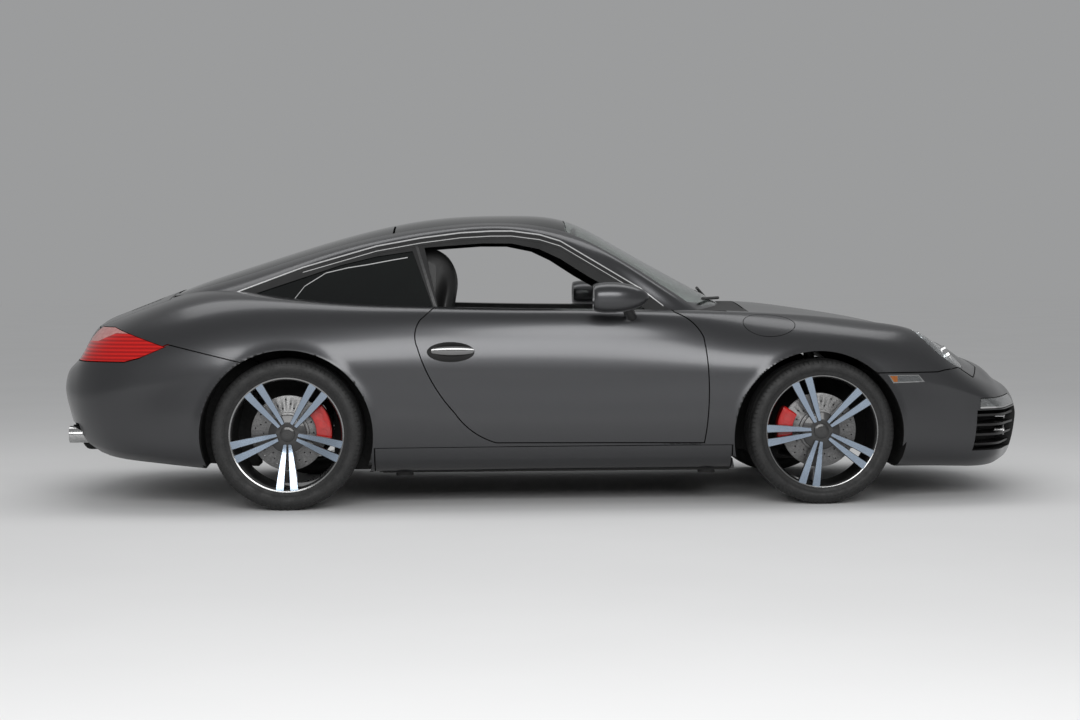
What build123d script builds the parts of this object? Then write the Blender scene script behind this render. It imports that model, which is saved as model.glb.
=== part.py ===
from build123d import *
from math import cos, hypot, radians, sin, sqrt
import os

os.makedirs("parts", exist_ok=True)

# Frame: +X forward, +Y to the left, +Z up, origin on the floor under the middle of the car. Millimetres.
# The right side is modelled at negative Y, and the left side is its mirror image.

# Driving dimensions of the whole car
FRONT_AXLE_X = 1202.5
WHEELBASE = 2350.0
REAR_AXLE_X = FRONT_AXLE_X - WHEELBASE
FRONT_TRACK = 1488.0
REAR_TRACK = 1532.0
PANEL_GAP = 5.0
SEAT_GAP = 0.3
FRAME_DEPTH = 42.0
LID_DEPTH = 24.0
GLASS = 5.0
GLASS_SINK = 3.0
OVERRUN = 400.0
FAR_Y = 1100.0
TALL = (0.0, 2000.0)
SLIVER = 20000.0

# The stretches of the lower body that are lofted, from one value of X to another
REAR_SPAN = (-2300.0, -190.0)
MIDDLE_SPAN = (-1147.0, 1202.0)
FRONT_SPAN = (150.0, 2300.0)
LID_SPAN = (-2155.0, -780.0)
ROOF_SPAN = (-1950.0, 950.0)
FENDER_SPAN = (500.0, 2300.0)

# Wheels, with the tyres at their loaded radius and the hubs at that height
FRONT_TYRE_R = 321.5
REAR_TYRE_R = 330.5
FRONT_TYRE_W = 235.0
REAR_TYRE_W = 296.0
FRONT_HUB_Z = FRONT_TYRE_R
REAR_HUB_Z = REAR_TYRE_R
TYRE_BEAD_R = 244.0
TYRE_SHOULDER_H = 48.0
TYRE_TREAD_DROP = 28.0
RIM_WIDTH_SHARE = 0.46
RIM_LIP_R = 259.0
RIM_LIP_W = 9.0
RIM_BARREL_R = 236.0
RIM_LIP_BAND = 14.0
SPOKE_PAIRS = 5
SPOKE_START_R = 60.0
SPOKE_START_APART = 10.5
SPOKE_END_APART = 31.0
SPOKE_W_HUB = 16.0
SPOKE_W_RIM = 34.0
SPOKE_DEPTH = 26.0
SPOKE_FACE_SINK = 14.0
SPOKE_ROOT = 2.0
HUB_PAD_R = 84.0
HUB_PAD_DEPTH = 34.0
LUG_CIRCLE_R = 65.0
LUG_HOLE_R = 13.0
LUG_HOLE_DEPTH = 16.0
CAP_R = 31.0
CAP_HEIGHT = 6.0
DISC_R = 165.0
DISC_T = 28.0
DISC_BELL_R = 92.0
DISC_BELL_DEPTH = 26.0
CALIPER_T = 92.0
CALIPER_SPAN_DEG = 58.0
CALIPER_OUT_R = 192.0
CALIPER_IN_R = 122.0
CALIPER_CLEAR = 4.0
FRONT_CALIPER_DEG = 172.0
REAR_CALIPER_DEG = 14.0
DISC_CLEAR = 1.0
FRONT_HUB_SINK = 34.0
REAR_HUB_SINK = 60.0
FRONT_INBOARD = 110.0
REAR_INBOARD = 120.0
FRONT_TURN_DEG = 14.0
REAR_TURN_DEG = 0.0

# The lower body, one row for each station from tail to nose.
# x, foot y z, lower edge y z, widest y z, shoulder y z, crest y z, valley y z, centre line z
BODY_STATIONS = [
    (-2217, 90, 480, 150, 485, 200, 515, 180, 545, 120, 553, 60, 556, 557),
    (-2200, 150, 445, 260, 455, 350, 515, 310, 565, 220, 582, 110, 588, 590),
    (-2155, 300, 380, 470, 400, 560, 500, 510, 590, 400, 622, 200, 638, 642),
    (-2110, 380, 262, 550, 300, 655, 490, 610, 610, 490, 655, 260, 700, 716),
    (-2050, 430, 238, 640, 280, 738, 480, 706, 635, 610, 705, 400, 780, 808),
    (-1950, 520, 222, 725, 258, 820, 490, 790, 660, 710, 752, 515, 822, 860),
    (-1760, 620, 205, 825, 240, 878, 535, 848, 705, 740, 828, 560, 888, 934),
    (-1480, 650, 180, 872, 215, 917, 590, 872, 775, 755, 900, 600, 952, 1000),
    (-1147, 650, 160, 882, 205, 924, 610, 876, 795, 782, 903, 650, 925, 940),
    (-820, 650, 151, 858, 205, 902, 600, 866, 783, 793, 882, 662, 892, 898),
    (-500, 650, 147, 844, 205, 882, 592, 857, 764, 796, 870, 668, 877, 880),
    (-190, 650, 145, 835, 205, 869, 586, 849, 750, 796, 861, 670, 868, 869),
    (150, 650, 145, 832, 205, 864, 580, 844, 745, 795, 856, 670, 862, 864),
    (600, 640, 145, 832, 205, 866, 580, 836, 740, 770, 844, 640, 858, 872),
    (900, 630, 150, 840, 205, 880, 575, 834, 735, 722, 837, 590, 848, 886),
    (1202, 620, 155, 850, 205, 892, 570, 836, 730, 692, 823, 550, 820, 854),
    (1500, 600, 155, 822, 200, 876, 545, 822, 700, 682, 788, 500, 782, 803),
    (1700, 570, 150, 780, 195, 842, 520, 806, 635, 682, 728, 455, 730, 752),
    (1860, 540, 145, 735, 182, 808, 480, 775, 540, 682, 592, 430, 660, 684),
    (1960, 480, 140, 705, 182, 773, 440, 735, 490, 640, 536, 400, 596, 624),
    (2020, 430, 138, 660, 187, 742, 400, 690, 460, 590, 510, 350, 580, 600),
    (2093, 350, 150, 520, 190, 622, 370, 585, 430, 480, 480, 280, 528, 544),
    (2150, 280, 175, 400, 210, 500, 350, 470, 410, 370, 465, 220, 498, 508),
    (2190, 170, 250, 250, 290, 332, 380, 310, 420, 240, 452, 140, 470, 476),
    (2217, 80, 340, 120, 350, 160, 390, 140, 415, 100, 425, 50, 430, 432),
]
BODY_COLUMNS = 6

# The glasshouse, one row for each station from tail to nose.
# x, foot y z, rail y z, roof edge y z, roof quarter y z, centre line z
ROOF_STATIONS = [
    (-1950, 500, 690, 450, 780, 380, 806, 205, 822, 828),
    (-1700, 620, 790, 545, 882, 460, 918, 248, 944, 954),
    (-1400, 700, 800, 603, 953, 512, 1004, 276, 1046, 1059),
    (-1000, 752, 790, 614, 1088, 532, 1130, 290, 1170, 1183),
    (-500, 778, 780, 606, 1198, 530, 1234, 290, 1276, 1289),
    (-150, 780, 780, 602, 1216, 526, 1250, 290, 1290, 1303),
    (100, 778, 780, 612, 1154, 540, 1204, 300, 1260, 1277),
    (300, 772, 770, 636, 1034, 590, 1100, 335, 1162, 1180),
    (500, 765, 750, 672, 878, 628, 970, 365, 1044, 1066),
    (700, 710, 690, 650, 790, 590, 846, 335, 934, 957),
    (850, 600, 640, 550, 710, 470, 756, 275, 842, 872),
    (950, 500, 600, 450, 655, 380, 694, 215, 772, 800),
]
ROOF_COLUMNS = 4

# Side outlines, x z, each a chain of arcs through three points that share their ends
DOOR_FRONT_ARCS = [(560, 846), (640, 796), (678, 740), (697, 560), (677, 280)]
DOOR_REAR_ARCS = [
    (-235, 288), (-318, 326), (-414, 420), (-512, 556), (-575, 707), (-584, 772), (-563, 823),
]
DOOR_TOP_FRONT = (500, 905)
DOOR_TOP_REAR = (-470, 905)
DOOR_INNER_Y = 705.0
DOOR_SKIN_Y = 800.0
DOOR_STEP = 20.0
HANDLE_RECESS_CENTRE = (-424.0, -900.0, 690.0)
HANDLE_RECESS_RADII = (112.0, 49.0)
HANDLE_RECESS_DEPTH = 55.0
GRIP_ENDS = ((-544.0, -860.0, 690.0), (-304.0, -860.0, 690.0))
GRIP_R = 10.0
DOOR_WINDOW = [
    (-548, 1143), (-441, 1151), (-291, 1161), (-159, 1160), (-34, 1134),
    (59, 1090), (185, 1009), (374, 901), (430, 868), (430, 700), (-400, 700), (-486, 868),
]
QUARTER_WINDOW = [
    (-600, 1128), (-761, 1105), (-925, 1066), (-1090, 1012), (-1250, 960),
    (-1352, 926), (-1250, 700), (-440, 700), (-506, 868),
]
ARCH_R = 376.0
FRONT_ARCH_X = 1186.0
FRONT_ARCH_Z = 302.0
REAR_ARCH_Z = 324.0
FRONT_WELL_Y = 440.0
REAR_WELL_Y = 596.0
FRONT_BUMPER_SIDE = [
    (1430, 100), (1430, 577), (1718, 577), (1752, 584), (1832, 592), (1905, 545), (1985, 578),
    (1985, 700), (2300, 700), (2300, 100),
]
REAR_BUMPER_SIDE = [
    (-1300, 100), (-1300, 636), (-1661, 724), (-1690, 712), (-1785, 665), (-1852, 648), (-1985, 648),
    (-2300, 648), (-2300, 100),
]
REAR_BUMPER_TOP = ((-2300.0, -2015.0), (-512.0, 0.0), (640.0, 860.0))
TAIL_LAMP = [(-1920, 797), (-1676, 715), (-1785, 670), (-1852, 653), (-2120, 653), (-2120, 797)]
TAIL_LAMP_Y = (-900.0, -520.0)
LAMP_GAP = 3.0
HEADLAMP_CENTRE = (1752.0, -652.0, 690.0)
HEADLAMP_AIM = (0.60, -0.22, 0.77)
HEADLAMP_RADII = (150.0, 108.0)
HEADLAMP_DEPTH = 110.0
CORNER_LAMP_PLAN = [(2300, -440), (2118, -440), (1905, -735), (1960, -900), (2300, -900)]
CORNER_LAMP_Z = (412.0, 456.0)
INTAKE_PLAN = [(2300, -440), (2075, -440), (1865, -700), (1960, -900), (2300, -900)]
INTAKE_Z = (222.0, 404.0)
CENTRE_INTAKE = ((2120.0, 2300.0), (-360.0, 360.0), (205.0, 285.0))
SKIRT_X = (-764.0, 800.0)
SKIRT_TOP_Z = 266.0
SKIRT_INNER_Y = 770.0
SKIRT_GAP = 3.0
SILL_INNER_Y = 704.0
SILL_Z = (150.0, 268.0)
SILL_REAR_X = -735.0
SIDE_MARKER = [(1487, 570), (1627, 569), (1656, 537), (1511, 534)]
SIDE_MARKER_INNER_Y = 832.0

# Plan outlines of the right half, x y, from the middle outwards and back
FRONT_LID_HALF = [
    (1985, 0), (1975, -180), (1930, -330), (1850, -415), (1700, -472), (1300, -566), (1000, -628),
    (912, -634), (905, 0),
]
ENGINE_LID_HALF = [(-1705, 0), (-1705, -505), (-1940, -500), (-2015, -488), (-2042, -300), (-2046, 0)]
TOP_GLASS_HALF = [
    (838, 0), (800, -300), (715, -500), (628, -603), (500, -606), (300, -570), (96, -524), (-300, -512),
    (-690, -512), (-1000, -510), (-1400, -482), (-1560, -455), (-1660, -400), (-1690, -300), (-1694, 0),
]
WINDSCREEN_REAR_X = 94.0
ROOF_GLASS_X = (-684.0, 88.0)
HATCH_FRONT_X = -694.0
ROOF_BARS_X = ((56.0, 126.0), (-724.0, -656.0))
LEDGE_DEPTH = 18.0
GLASS_GAP = 3.0
COWL_HALF = [(900, 0), (900, -630), (668, -690), (668, 0)]
COWL_Z = (800.0, 1000.0)
GRILLE_SLOTS = 8
GRILLE_SLOT_W = 8.0
GRILLE_PITCH = 18.0
GRILLE_FIRST_X = -1770.0
GRILLE_HALF_Y = 330.0

# Rooms inside the body, as spans of x, y and z on the right side
CABIN = ((-755.0, 800.0), (-700.0, 0.0), TALL)
REAR_CABIN = ((-920.0, -754.0), (-570.0, 0.0), TALL)
LOAD_SPACE = ((-1694.3, -915.0), (-462.0, 0.0), (700.0, 2000.0))
ENGINE_BAY = ((-2000.0, -960.0), (-430.0, 0.0), (0.0, 672.0))
ARM_ROOM = ((-1330.0, -960.0), (-600.0, -429.0), (0.0, 470.0))
LID_BAY = ((-2000.0, -1720.0), (-430.0, 0.0), (660.0, 2000.0))
LUGGAGE_TUB = ((800.0, 1900.0), (-436.0, 0.0), (210.0, 590.0))
LUGGAGE_ROOM = ((880.0, 1865.0), (-410.0, 0.0), (240.0, 2000.0))
WELL_R = 386.0
WELL_LIP_Y = 830.0
TURN_ROOM_Y = 740.0
TURN_ROOM = 8.0

# Floor and structure of the right half, as spans of x, y and z
FLOOR_BLOCKS = [
    ((-754.0, 800.0), (-699.7, 0.0), (146.0, 166.0)),
    ((-919.7, -753.0), (-569.7, 0.0), (146.0, 166.0)),
    ((-900.0, 740.0), (-110.0, 0.0), (160.0, 330.0)),
    ((784.0, 798.0), (-700.0, 0.0), (160.0, 790.0)),
    ((604.0, 790.0), (-699.0, -636.0), (160.0, 796.0)),
]
JACK_PADS = [(700.0, -735.0), (-640.0, -735.0)]
JACK_PAD_R = 38.0
JACK_PAD_Z = (136.0, 152.0)

# Cabin pieces
SEAT_Y = 370.0
SEAT_HALF_W = 245.0
SEAT_CUSHION = [(-20, 335), (-40, 430), (-110, 452), (-420, 405), (-470, 300), (-60, 275)]
SEAT_BACK = [
    (-400, 380), (-425, 640), (-440, 860), (-470, 985), (-560, 985), (-590, 800), (-560, 400),
    (-500, 330),
]
SEAT_HEAD = [(-470, 992), (-505, 1120), (-545, 1150), (-600, 1130), (-600, 1030), (-565, 992)]
SEAT_HEAD_HALF_W = 135.0
SEAT_RAIL_X = (-440.0, -80.0)
SEAT_RAIL_HALF_W = 190.0
SEAT_RAIL_TOP_Z = 310.0
FLOOR_TOP_Z = 166.0
SEAT_POST_R = 7.0
SEAT_POST_Y = 60.0
SEAT_POST_X = -530.0
SEAT_POST_Z = (950.0, 1030.0)
REAR_SEAT_CUSHION = [(-640, 330), (-650, 430), (-860, 400), (-900, 330)]
REAR_SEAT_BACK = [(-850, 412), (-880, 700), (-912, 690), (-912, 400)]
REAR_SEAT_Y = (-560.0, -125.0)
DASH_SIDE = [
    (430, 842), (470, 872), (640, 868), (664, 850), (664, 796), (770, 796), (776, 560), (640, 560),
    (500, 640), (438, 700),
]
DASH_HALF_W = 635.0
DASH_TOP_HALF_W = 500.0
DASH_SHOULDER_Z = 790.0
STEERING_CENTRE = (318.0, 370.0, 800.0)
STEERING_TILT_DEG = 24.0
STEERING_R = 182.0
STEERING_RIM_R = 16.0
STEERING_HUB_R = 62.0
STEERING_HUB_T = 40.0
STEERING_SPOKE_W = 30.0
STEERING_SPOKE_T = 12.0
COLUMN_R = 30.0
COLUMN_LENGTH = 190.0
BINNACLE_SIDE = [(440, 850), (430, 905), (452, 915), (560, 895), (640, 850)]
BINNACLE_HALF_W = 170.0
MIRROR_IN_CENTRE = (150.0, 0.0, 1212.0)
MIRROR_IN_SIZE = (18.0, 210.0, 52.0)

# Outside pieces
DOOR_MIRROR_CENTRE = (0.0, -905.0, 919.0)
# Each ring of the housing: x, half width and half height
DOOR_MIRROR_RINGS = [
    (190, 78, 56), (215, 85, 64), (280, 87, 67), (350, 76, 58), (405, 49, 38), (432, 15, 12),
]
MIRROR_RECESS_DEPTH = 8.0
MIRROR_RECESS_WALL = 6.0
DOOR_MIRROR_FOOT = ((330.0, -880.0, 890.0), (362.0, -806.0, 836.0))
DOOR_MIRROR_FOOT_R = 20.0
FLAP_CENTRE = (977.0, -772.0, 789.0)
FLAP_RADII = (114.0, 74.0)
FLAP_NORMAL = (0.0, -0.60, 0.80)
FLAP_T = 4.0
FLAP_LEDGE = 14.0
FLAP_BOX_DEPTH = 60.0
WIPER_ARMS = [((838.0, -60.0, 903.0), (716.0, -480.0, 905.0)), ((838.0, 420.0, 892.0), (740.0, -30.0, 950.0))]
WIPER_R = 7.0
ENGINE_SIZE = ((-1880.0, -1250.0), (-340.0, 340.0), (230.0, 640.0))
MUFFLER = ((-1940.0, -330.0, 345.0), (-1940.0, 330.0, 345.0))
MUFFLER_R = 54.0
TAILPIPE_R = 38.0
TAILPIPE_WALL = 3.0
TAILPIPE_Y = (-590.0, -505.0)
TAILPIPE_X = (-2140.0, -1960.0)
TAILPIPE_Z = 318.0
EXHAUST_CUT_Y = (-650.0, -445.0)
EXHAUST_CUT_Z = (0.0, 372.0)
TRIM_SIDE = [
    (-1418, 942), (-1090, 1062), (-761, 1155), (-564, 1190), (-388, 1212), (-252, 1219), (-158, 1219),
    (-32, 1202), (61, 1173), (187, 1097), (313, 1021), (419, 957), (518, 880),
]
TRIM_DROP = 14.0
TRIM_PROUD = 1.5

# Suspension, right side, each arm from one point to another with its radius
STRUT = ((1202.5, -572.0, 480.0), (1189.0, -546.0, 683.8), 24.0)
FRONT_ARMS = [
    ((1202.5, -650.0, 176.0), (1090.0, -300.0, 186.0), 14.0),
    ((1202.5, -650.0, 176.0), (1330.0, -300.0, 186.0), 14.0),
]
FRONT_SUBFRAME = ((1050.0, 1380.0), (-330.0, 0.0), (158.0, 200.0))
REAR_ARMS = [
    ((-1147.5, -600.0, 230.0), (-1020.0, -300.0, 240.0), 16.0),
    ((-1147.5, -600.0, 230.0), (-1222.0, -320.0, 240.0), 16.0),
    ((-1147.5, -600.0, 420.0), (-1147.5, -440.0, 430.0), 14.0),
]
REAR_SUBFRAME = ((-1240.0, -1020.0), (-330.0, 0.0), (205.0, 262.0))
UPRIGHT_Z = (-120.0, 130.0)
UPRIGHT_HALF_X = 48.0
UPRIGHT_T = 34.0
HUB_STUB_R = 42.0
HUB_CLEAR = 1.5
BRACKET_REACH = 160.0
BRACKET_HALF_W = 28.0
TAILPIPE_BORE = 60.0


def catmull(points, first, last):
    """Mid points of a smooth curve through the points, with the end directions given."""
    tangents = [first]
    for before, after in zip(points[:-2], points[2:]):
        tangents.append((after[0] - before[0], after[1] - before[1]))
    tangents.append(last)
    mids = []
    for p, q, s, t in zip(points, points[1:], tangents, tangents[1:]):
        reach = hypot(q[0] - p[0], q[1] - p[1])
        ls = reach / hypot(*s)
        lt = reach / hypot(*t)
        mids.append(tuple((a + b) / 2 + (u * ls - v * lt) / 8 for a, b, u, v in zip(p, q, s, t)))
    return mids


def chain_points(keys, foot_direction):
    """The key points of a half section with the mid point of each arc between them."""
    chain = [keys[0]]
    for mid, key in zip(catmull(keys, foot_direction, (-1.0, 0.0)), keys[1:]):
        chain += [mid, key]
    return chain


def inset_points(points, amount):
    """The points of a half section moved inwards, square to the section."""
    moved = []
    for i, (y, z) in enumerate(points):
        before = points[max(i - 1, 0)]
        after = points[min(i + 1, len(points) - 1)]
        dy, dz = after[0] - before[0], after[1] - before[1]
        length = hypot(dy, dz)
        moved.append((max(y - amount * dz / length, 0.0), z + amount * dy / length))
    moved[-1] = (0.0, points[-1][1] - amount)
    return moved


def arcs_of(x, points):
    """Arcs through each three points of a chain, on the right side of the car."""
    return [ThreePointArc(*[(x, -y, z) for y, z in points[i : i + 3]]) for i in range(0, len(points) - 2, 2)]


def body_keys(row):
    """The key points of one station of the lower body."""
    return [(row[2 * i + 1], row[2 * i + 2]) for i in range(BODY_COLUMNS)] + [(0.0, row[-1])]


def roof_keys(row):
    """The key points of one station of the glasshouse."""
    return [(row[2 * i + 1], row[2 * i + 2]) for i in range(ROOF_COLUMNS)] + [(0.0, row[-1])]


def half_body(first, last):
    """The right half of the lower body, solid, through the stations between two values of X."""
    wires = []
    for row in BODY_STATIONS:
        if first <= row[0] <= last:
            x = row[0]
            chain = chain_points(body_keys(row), (1.0, 0.0))
            edges = arcs_of(x, chain)
            edges += [Line((x, 0, chain[-1][1]), (x, 0, chain[0][1]))]
            edges += [Line((x, 0, chain[0][1]), (x, -chain[0][0], chain[0][1]))]
            wires.append(Wire(edges))
    return Solid.make_loft(wires)


def half_roof(grow):
    """The right half of the glasshouse, solid, grown."""
    wires = []
    for row in ROOF_STATIONS:
        x = row[0]
        keys = roof_keys(row)
        chain = chain_points(keys, (keys[1][0] - keys[0][0], keys[1][1] - keys[0][1]))
        chain = inset_points(chain, -grow)
        edges = arcs_of(x, chain)
        edges += [Line((x, 0, chain[-1][1]), (x, 0, chain[0][1]))]
        edges += [Line((x, 0, chain[0][1]), (x, -chain[0][0], chain[0][1]))]
        wires.append(Wire(edges))
    return Solid.make_loft(wires)


def half_sheet(stations, keys_of, key_from, sink, depth, first, last):
    """A curved panel of one thickness over the right half, from a key point to the centre line."""
    wires = []
    for row in stations:
        if first <= row[0] <= last:
            x = row[0]
            keys = keys_of(row)
            lean = (keys[1][0] - keys[0][0], keys[1][1] - keys[0][1])
            chain = chain_points(keys, lean)
            outer = inset_points(chain, sink)[2 * key_from :]
            inner = inset_points(chain, sink + depth)[2 * key_from :]
            edges = arcs_of(x, outer) + arcs_of(x, inner)
            edges += [Line((x, 0, outer[-1][1]), (x, 0, inner[-1][1]))]
            edges += [Line((x, -outer[0][0], outer[0][1]), (x, -inner[0][0], inner[0][1]))]
            wires.append(Wire(edges))
    return Solid.make_loft(wires)


def block(x, y, z):
    """A box between two values along each axis."""
    centre = ((x[0] + x[1]) / 2, (y[0] + y[1]) / 2, (z[0] + z[1]) / 2)
    return Pos(*centre) * Box(abs(x[1] - x[0]), abs(y[1] - y[0]), abs(z[1] - z[0]))


def bar(start, end, radius):
    """A round bar between two points."""
    way = Vector(*end) - Vector(*start)
    return extrude(Plane(origin=start, z_dir=way) * Circle(radius), way.length)


def side_polygon(points, y_from, y_to, grow=0.0):
    """A straight-sided side outline, grown, drawn out between two values of Y."""
    face = Face(Wire(Polyline(*[(x, y_from, z) for x, z in points], close=True).edges()))
    if grow:
        face = offset(face, grow, kind=Kind.INTERSECTION)
    return extrude(face, y_to - y_from, dir=(0, 1, 0))


def plan_polygon(points, grow, z_from, z_to):
    """A plan outline of the right half, grown except at the middle, drawn out between two heights."""
    face = Face(Wire(Polyline(*[(x, y, z_from) for x, y in points], close=True).edges()))
    if grow:
        face = offset(face, grow, kind=Kind.INTERSECTION)
    return extrude(face, z_to - z_from, dir=(0, 0, 1))


def pair(shape):
    """A right-hand piece and its mirror image."""
    return Compound(list(shape.solids()) + list(shape.mirror(Plane.XZ).solids()))


def join(shape):
    """A right half joined to its mirror image."""
    return shape + shape.mirror(Plane.XZ)


def main_solids(shape):
    """The shape without its slivers."""
    return Compound([s for s in shape.solids() if s.volume > SLIVER])


def save(name, shape):
    """Write one sub-part."""
    export_step(shape, f"parts/{name}.step")


def both(right, left):
    """Solids of the right and the left side in one sub-part."""
    return Compound(list(right.solids()) + list(left.solids()))


def widened(radii, amount):
    """The radii of an oval made larger all round."""
    return tuple(radius + amount for radius in radii)


def door_prism(grow, y_from, y_to):
    """The side outline of the door, grown, drawn out between two values of Y."""
    front = [(x, y_from, z) for x, z in DOOR_FRONT_ARCS]
    rear = [(x, y_from, z) for x, z in DOOR_REAR_ARCS]
    top_front = (DOOR_TOP_FRONT[0], y_from, DOOR_TOP_FRONT[1])
    top_rear = (DOOR_TOP_REAR[0], y_from, DOOR_TOP_REAR[1])
    edges = [Line(top_front, front[0])]
    edges += [ThreePointArc(*front[i : i + 3]) for i in range(0, len(front) - 2, 2)]
    edges += [Line(front[-1], rear[0])]
    edges += [ThreePointArc(*rear[i : i + 3]) for i in range(0, len(rear) - 2, 2)]
    edges += [Line(rear[-1], top_rear), Line(top_rear, top_front)]
    face = Face(Wire(edges))
    if grow:
        face = offset(face, grow, kind=Kind.INTERSECTION)
    return extrude(face, y_to - y_from, dir=(0, 1, 0))


def oval_prism(centre, aim, radii, depth_out, depth_in):
    """An oval drawn out both ways along its aim, its long axis lying forward."""
    aim = Vector(*aim).normalized()
    across = Vector(0, 0, 1).cross(aim)
    x_dir = across.cross(aim) if aim.X else Vector(1, 0, 0)
    face = Plane(origin=centre, x_dir=x_dir, z_dir=aim) * Ellipse(*radii)
    return extrude(face, depth_out, dir=aim) + extrude(face, -depth_in, dir=aim)


# Body shell

front = half_body(*FRONT_SPAN)
middle = half_body(*MIDDLE_SPAN)
rear = half_body(*REAR_SPAN)
cabin_solid = half_roof(SEAT_GAP)
door_cut = door_prism(PANEL_GAP, -FAR_Y, 0)
skirt_ends = (SKIRT_X[0] - SKIRT_GAP, SKIRT_X[1] + SKIRT_GAP)
skirt_room = block(skirt_ends, (-FAR_Y, 0), (0, SKIRT_TOP_Z + SKIRT_GAP))
headlamp = oval_prism(HEADLAMP_CENTRE, HEADLAMP_AIM, HEADLAMP_RADII, OVERRUN, HEADLAMP_DEPTH)
corner_lamp = plan_polygon(CORNER_LAMP_PLAN, 0, *CORNER_LAMP_Z)
side_marker = side_polygon(SIDE_MARKER, -FAR_Y, -SIDE_MARKER_INNER_Y)
tub_room = (LUGGAGE_TUB[1][0] - LAMP_GAP, 0)


def wheel_well(x, z, inner_y):
    """The room of a wheel on the right side: the arch, and a wider well inside its lip."""
    arch = bar((x, -FAR_Y, z), (x, -inner_y, z), ARCH_R)
    return arch + bar((x, -WELL_LIP_Y, z), (x, -inner_y, z), WELL_R)


# Front end


def front_side():
    """The right half of the nose with its wheel well, its headlamp hole and the room of the lid."""
    wide = widened(HEADLAMP_RADII, LAMP_GAP)
    lamp_hole = oval_prism(HEADLAMP_CENTRE, HEADLAMP_AIM, wide, OVERRUN, HEADLAMP_DEPTH + LAMP_GAP)
    side = front & block(FENDER_SPAN, (-FAR_Y, 0), TALL)
    side = side - wheel_well(FRONT_ARCH_X, FRONT_ARCH_Z, FRONT_WELL_Y) - lamp_hole
    turned = bar(*((FRONT_ARCH_X, -y, FRONT_ARCH_Z) for y in (TURN_ROOM_Y, FRONT_WELL_Y)), WELL_R + TURN_ROOM)
    side = side - turned
    return side - plan_polygon(FRONT_LID_HALF, PANEL_GAP, *TALL)


def front_fenders(side):
    """Both fenders. The right one has the hole of the filler flap, with a ledge that the flap lies on."""
    fender = side - side_polygon(FRONT_BUMPER_SIDE, -FAR_Y, 0, PANEL_GAP) - door_cut
    fender = fender - block(*CABIN) - plan_polygon(COWL_HALF, LAMP_GAP, *TALL)
    fender = main_solids(fender - block(LUGGAGE_TUB[0], tub_room, TALL) - skirt_room)
    hole = oval_prism(FLAP_CENTRE, FLAP_NORMAL, widened(FLAP_RADII, LAMP_GAP), OVERRUN, FLAP_T + SEAT_GAP)
    box = oval_prism(FLAP_CENTRE, FLAP_NORMAL, widened(FLAP_RADII, -FLAP_LEDGE), OVERRUN, FLAP_BOX_DEPTH)
    return both(fender - hole - box, fender.mirror(Plane.XZ))


def front_bumper(side):
    """The front bumper with its side intakes, its centre intake and the rooms of its lamps."""
    bumper = side & side_polygon(FRONT_BUMPER_SIDE, -FAR_Y, 0)
    bumper = bumper - block((FENDER_SPAN[0], LUGGAGE_TUB[0][1] + LAMP_GAP), tub_room, TALL)
    lamp_z = (CORNER_LAMP_Z[0] - LAMP_GAP, CORNER_LAMP_Z[1] + LAMP_GAP)
    bumper = bumper - plan_polygon(INTAKE_PLAN, 0, *INTAKE_Z)
    bumper = bumper - plan_polygon(CORNER_LAMP_PLAN, LAMP_GAP, *lamp_z)
    marker_room = side_polygon(SIDE_MARKER, -FAR_Y, LAMP_GAP - SIDE_MARKER_INNER_Y, LAMP_GAP)
    return join(main_solids(bumper - block(*CENTRE_INTAKE) - marker_room))


def front_lamps():
    """The headlamps, the corner lamps and the side markers."""
    lamps = [front & form for form in (headlamp, corner_lamp, side_marker)]
    return pair(Compound([solid for lamp in lamps for solid in lamp.solids()]))


nose = front_side()
save("front_fenders", front_fenders(nose))
save("front_bumper", front_bumper(nose))
save("front_lamps", front_lamps())
save("filler_flap", front & oval_prism(FLAP_CENTRE, FLAP_NORMAL, FLAP_RADII, OVERRUN, FLAP_T))
lid_sheet = half_sheet(BODY_STATIONS, body_keys, 3, 0.0, LID_DEPTH, *FRONT_SPAN)
save("front_lid", join(lid_sheet & plan_polygon(FRONT_LID_HALF, 0, *TALL)))
save("cowl", join(main_solids((front & plan_polygon(COWL_HALF, 0, *COWL_Z)) - cabin_solid)))

# Doors


def door_panel():
    """A door: a skin over the whole opening and a narrower box behind it, with an oval pull in a recess."""
    skin = middle & door_prism(0, -FAR_Y, -DOOR_SKIN_Y)
    box = middle & door_prism(-DOOR_STEP, -DOOR_SKIN_Y, -DOOR_INNER_Y)
    recess = oval_prism(HANDLE_RECESS_CENTRE, (0, -1, 0), HANDLE_RECESS_RADII, OVERRUN, HANDLE_RECESS_DEPTH)
    return skin + box - recess + bar(*GRIP_ENDS, GRIP_R)


def door_mirror():
    """A door mirror: a rounded housing on a foot, with a recess for its glass."""
    planes = [Plane(origin=(x, 0, 0), x_dir=(0, 1, 0), z_dir=(1, 0, 0)) for x, _, _ in DOOR_MIRROR_RINGS]
    rings = [plane * Ellipse(wide, high) for plane, (_, wide, high) in zip(planes, DOOR_MIRROR_RINGS)]
    recess = planes[0] * Ellipse(*widened(DOOR_MIRROR_RINGS[0][1:], -MIRROR_RECESS_WALL))
    housing = loft(rings) - extrude(recess, MIRROR_RECESS_DEPTH, dir=(1, 0, 0))
    foot = bar(*DOOR_MIRROR_FOOT, DOOR_MIRROR_FOOT_R)
    return main_solids(Pos(*DOOR_MIRROR_CENTRE) * housing + foot - middle)


for name, shape in (("door_panel", door_panel()), ("door_mirror", door_mirror())):
    save(f"{name}_right", shape)
    save(f"{name}_left", shape.mirror(Plane.XZ))

# Glasshouse


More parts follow.
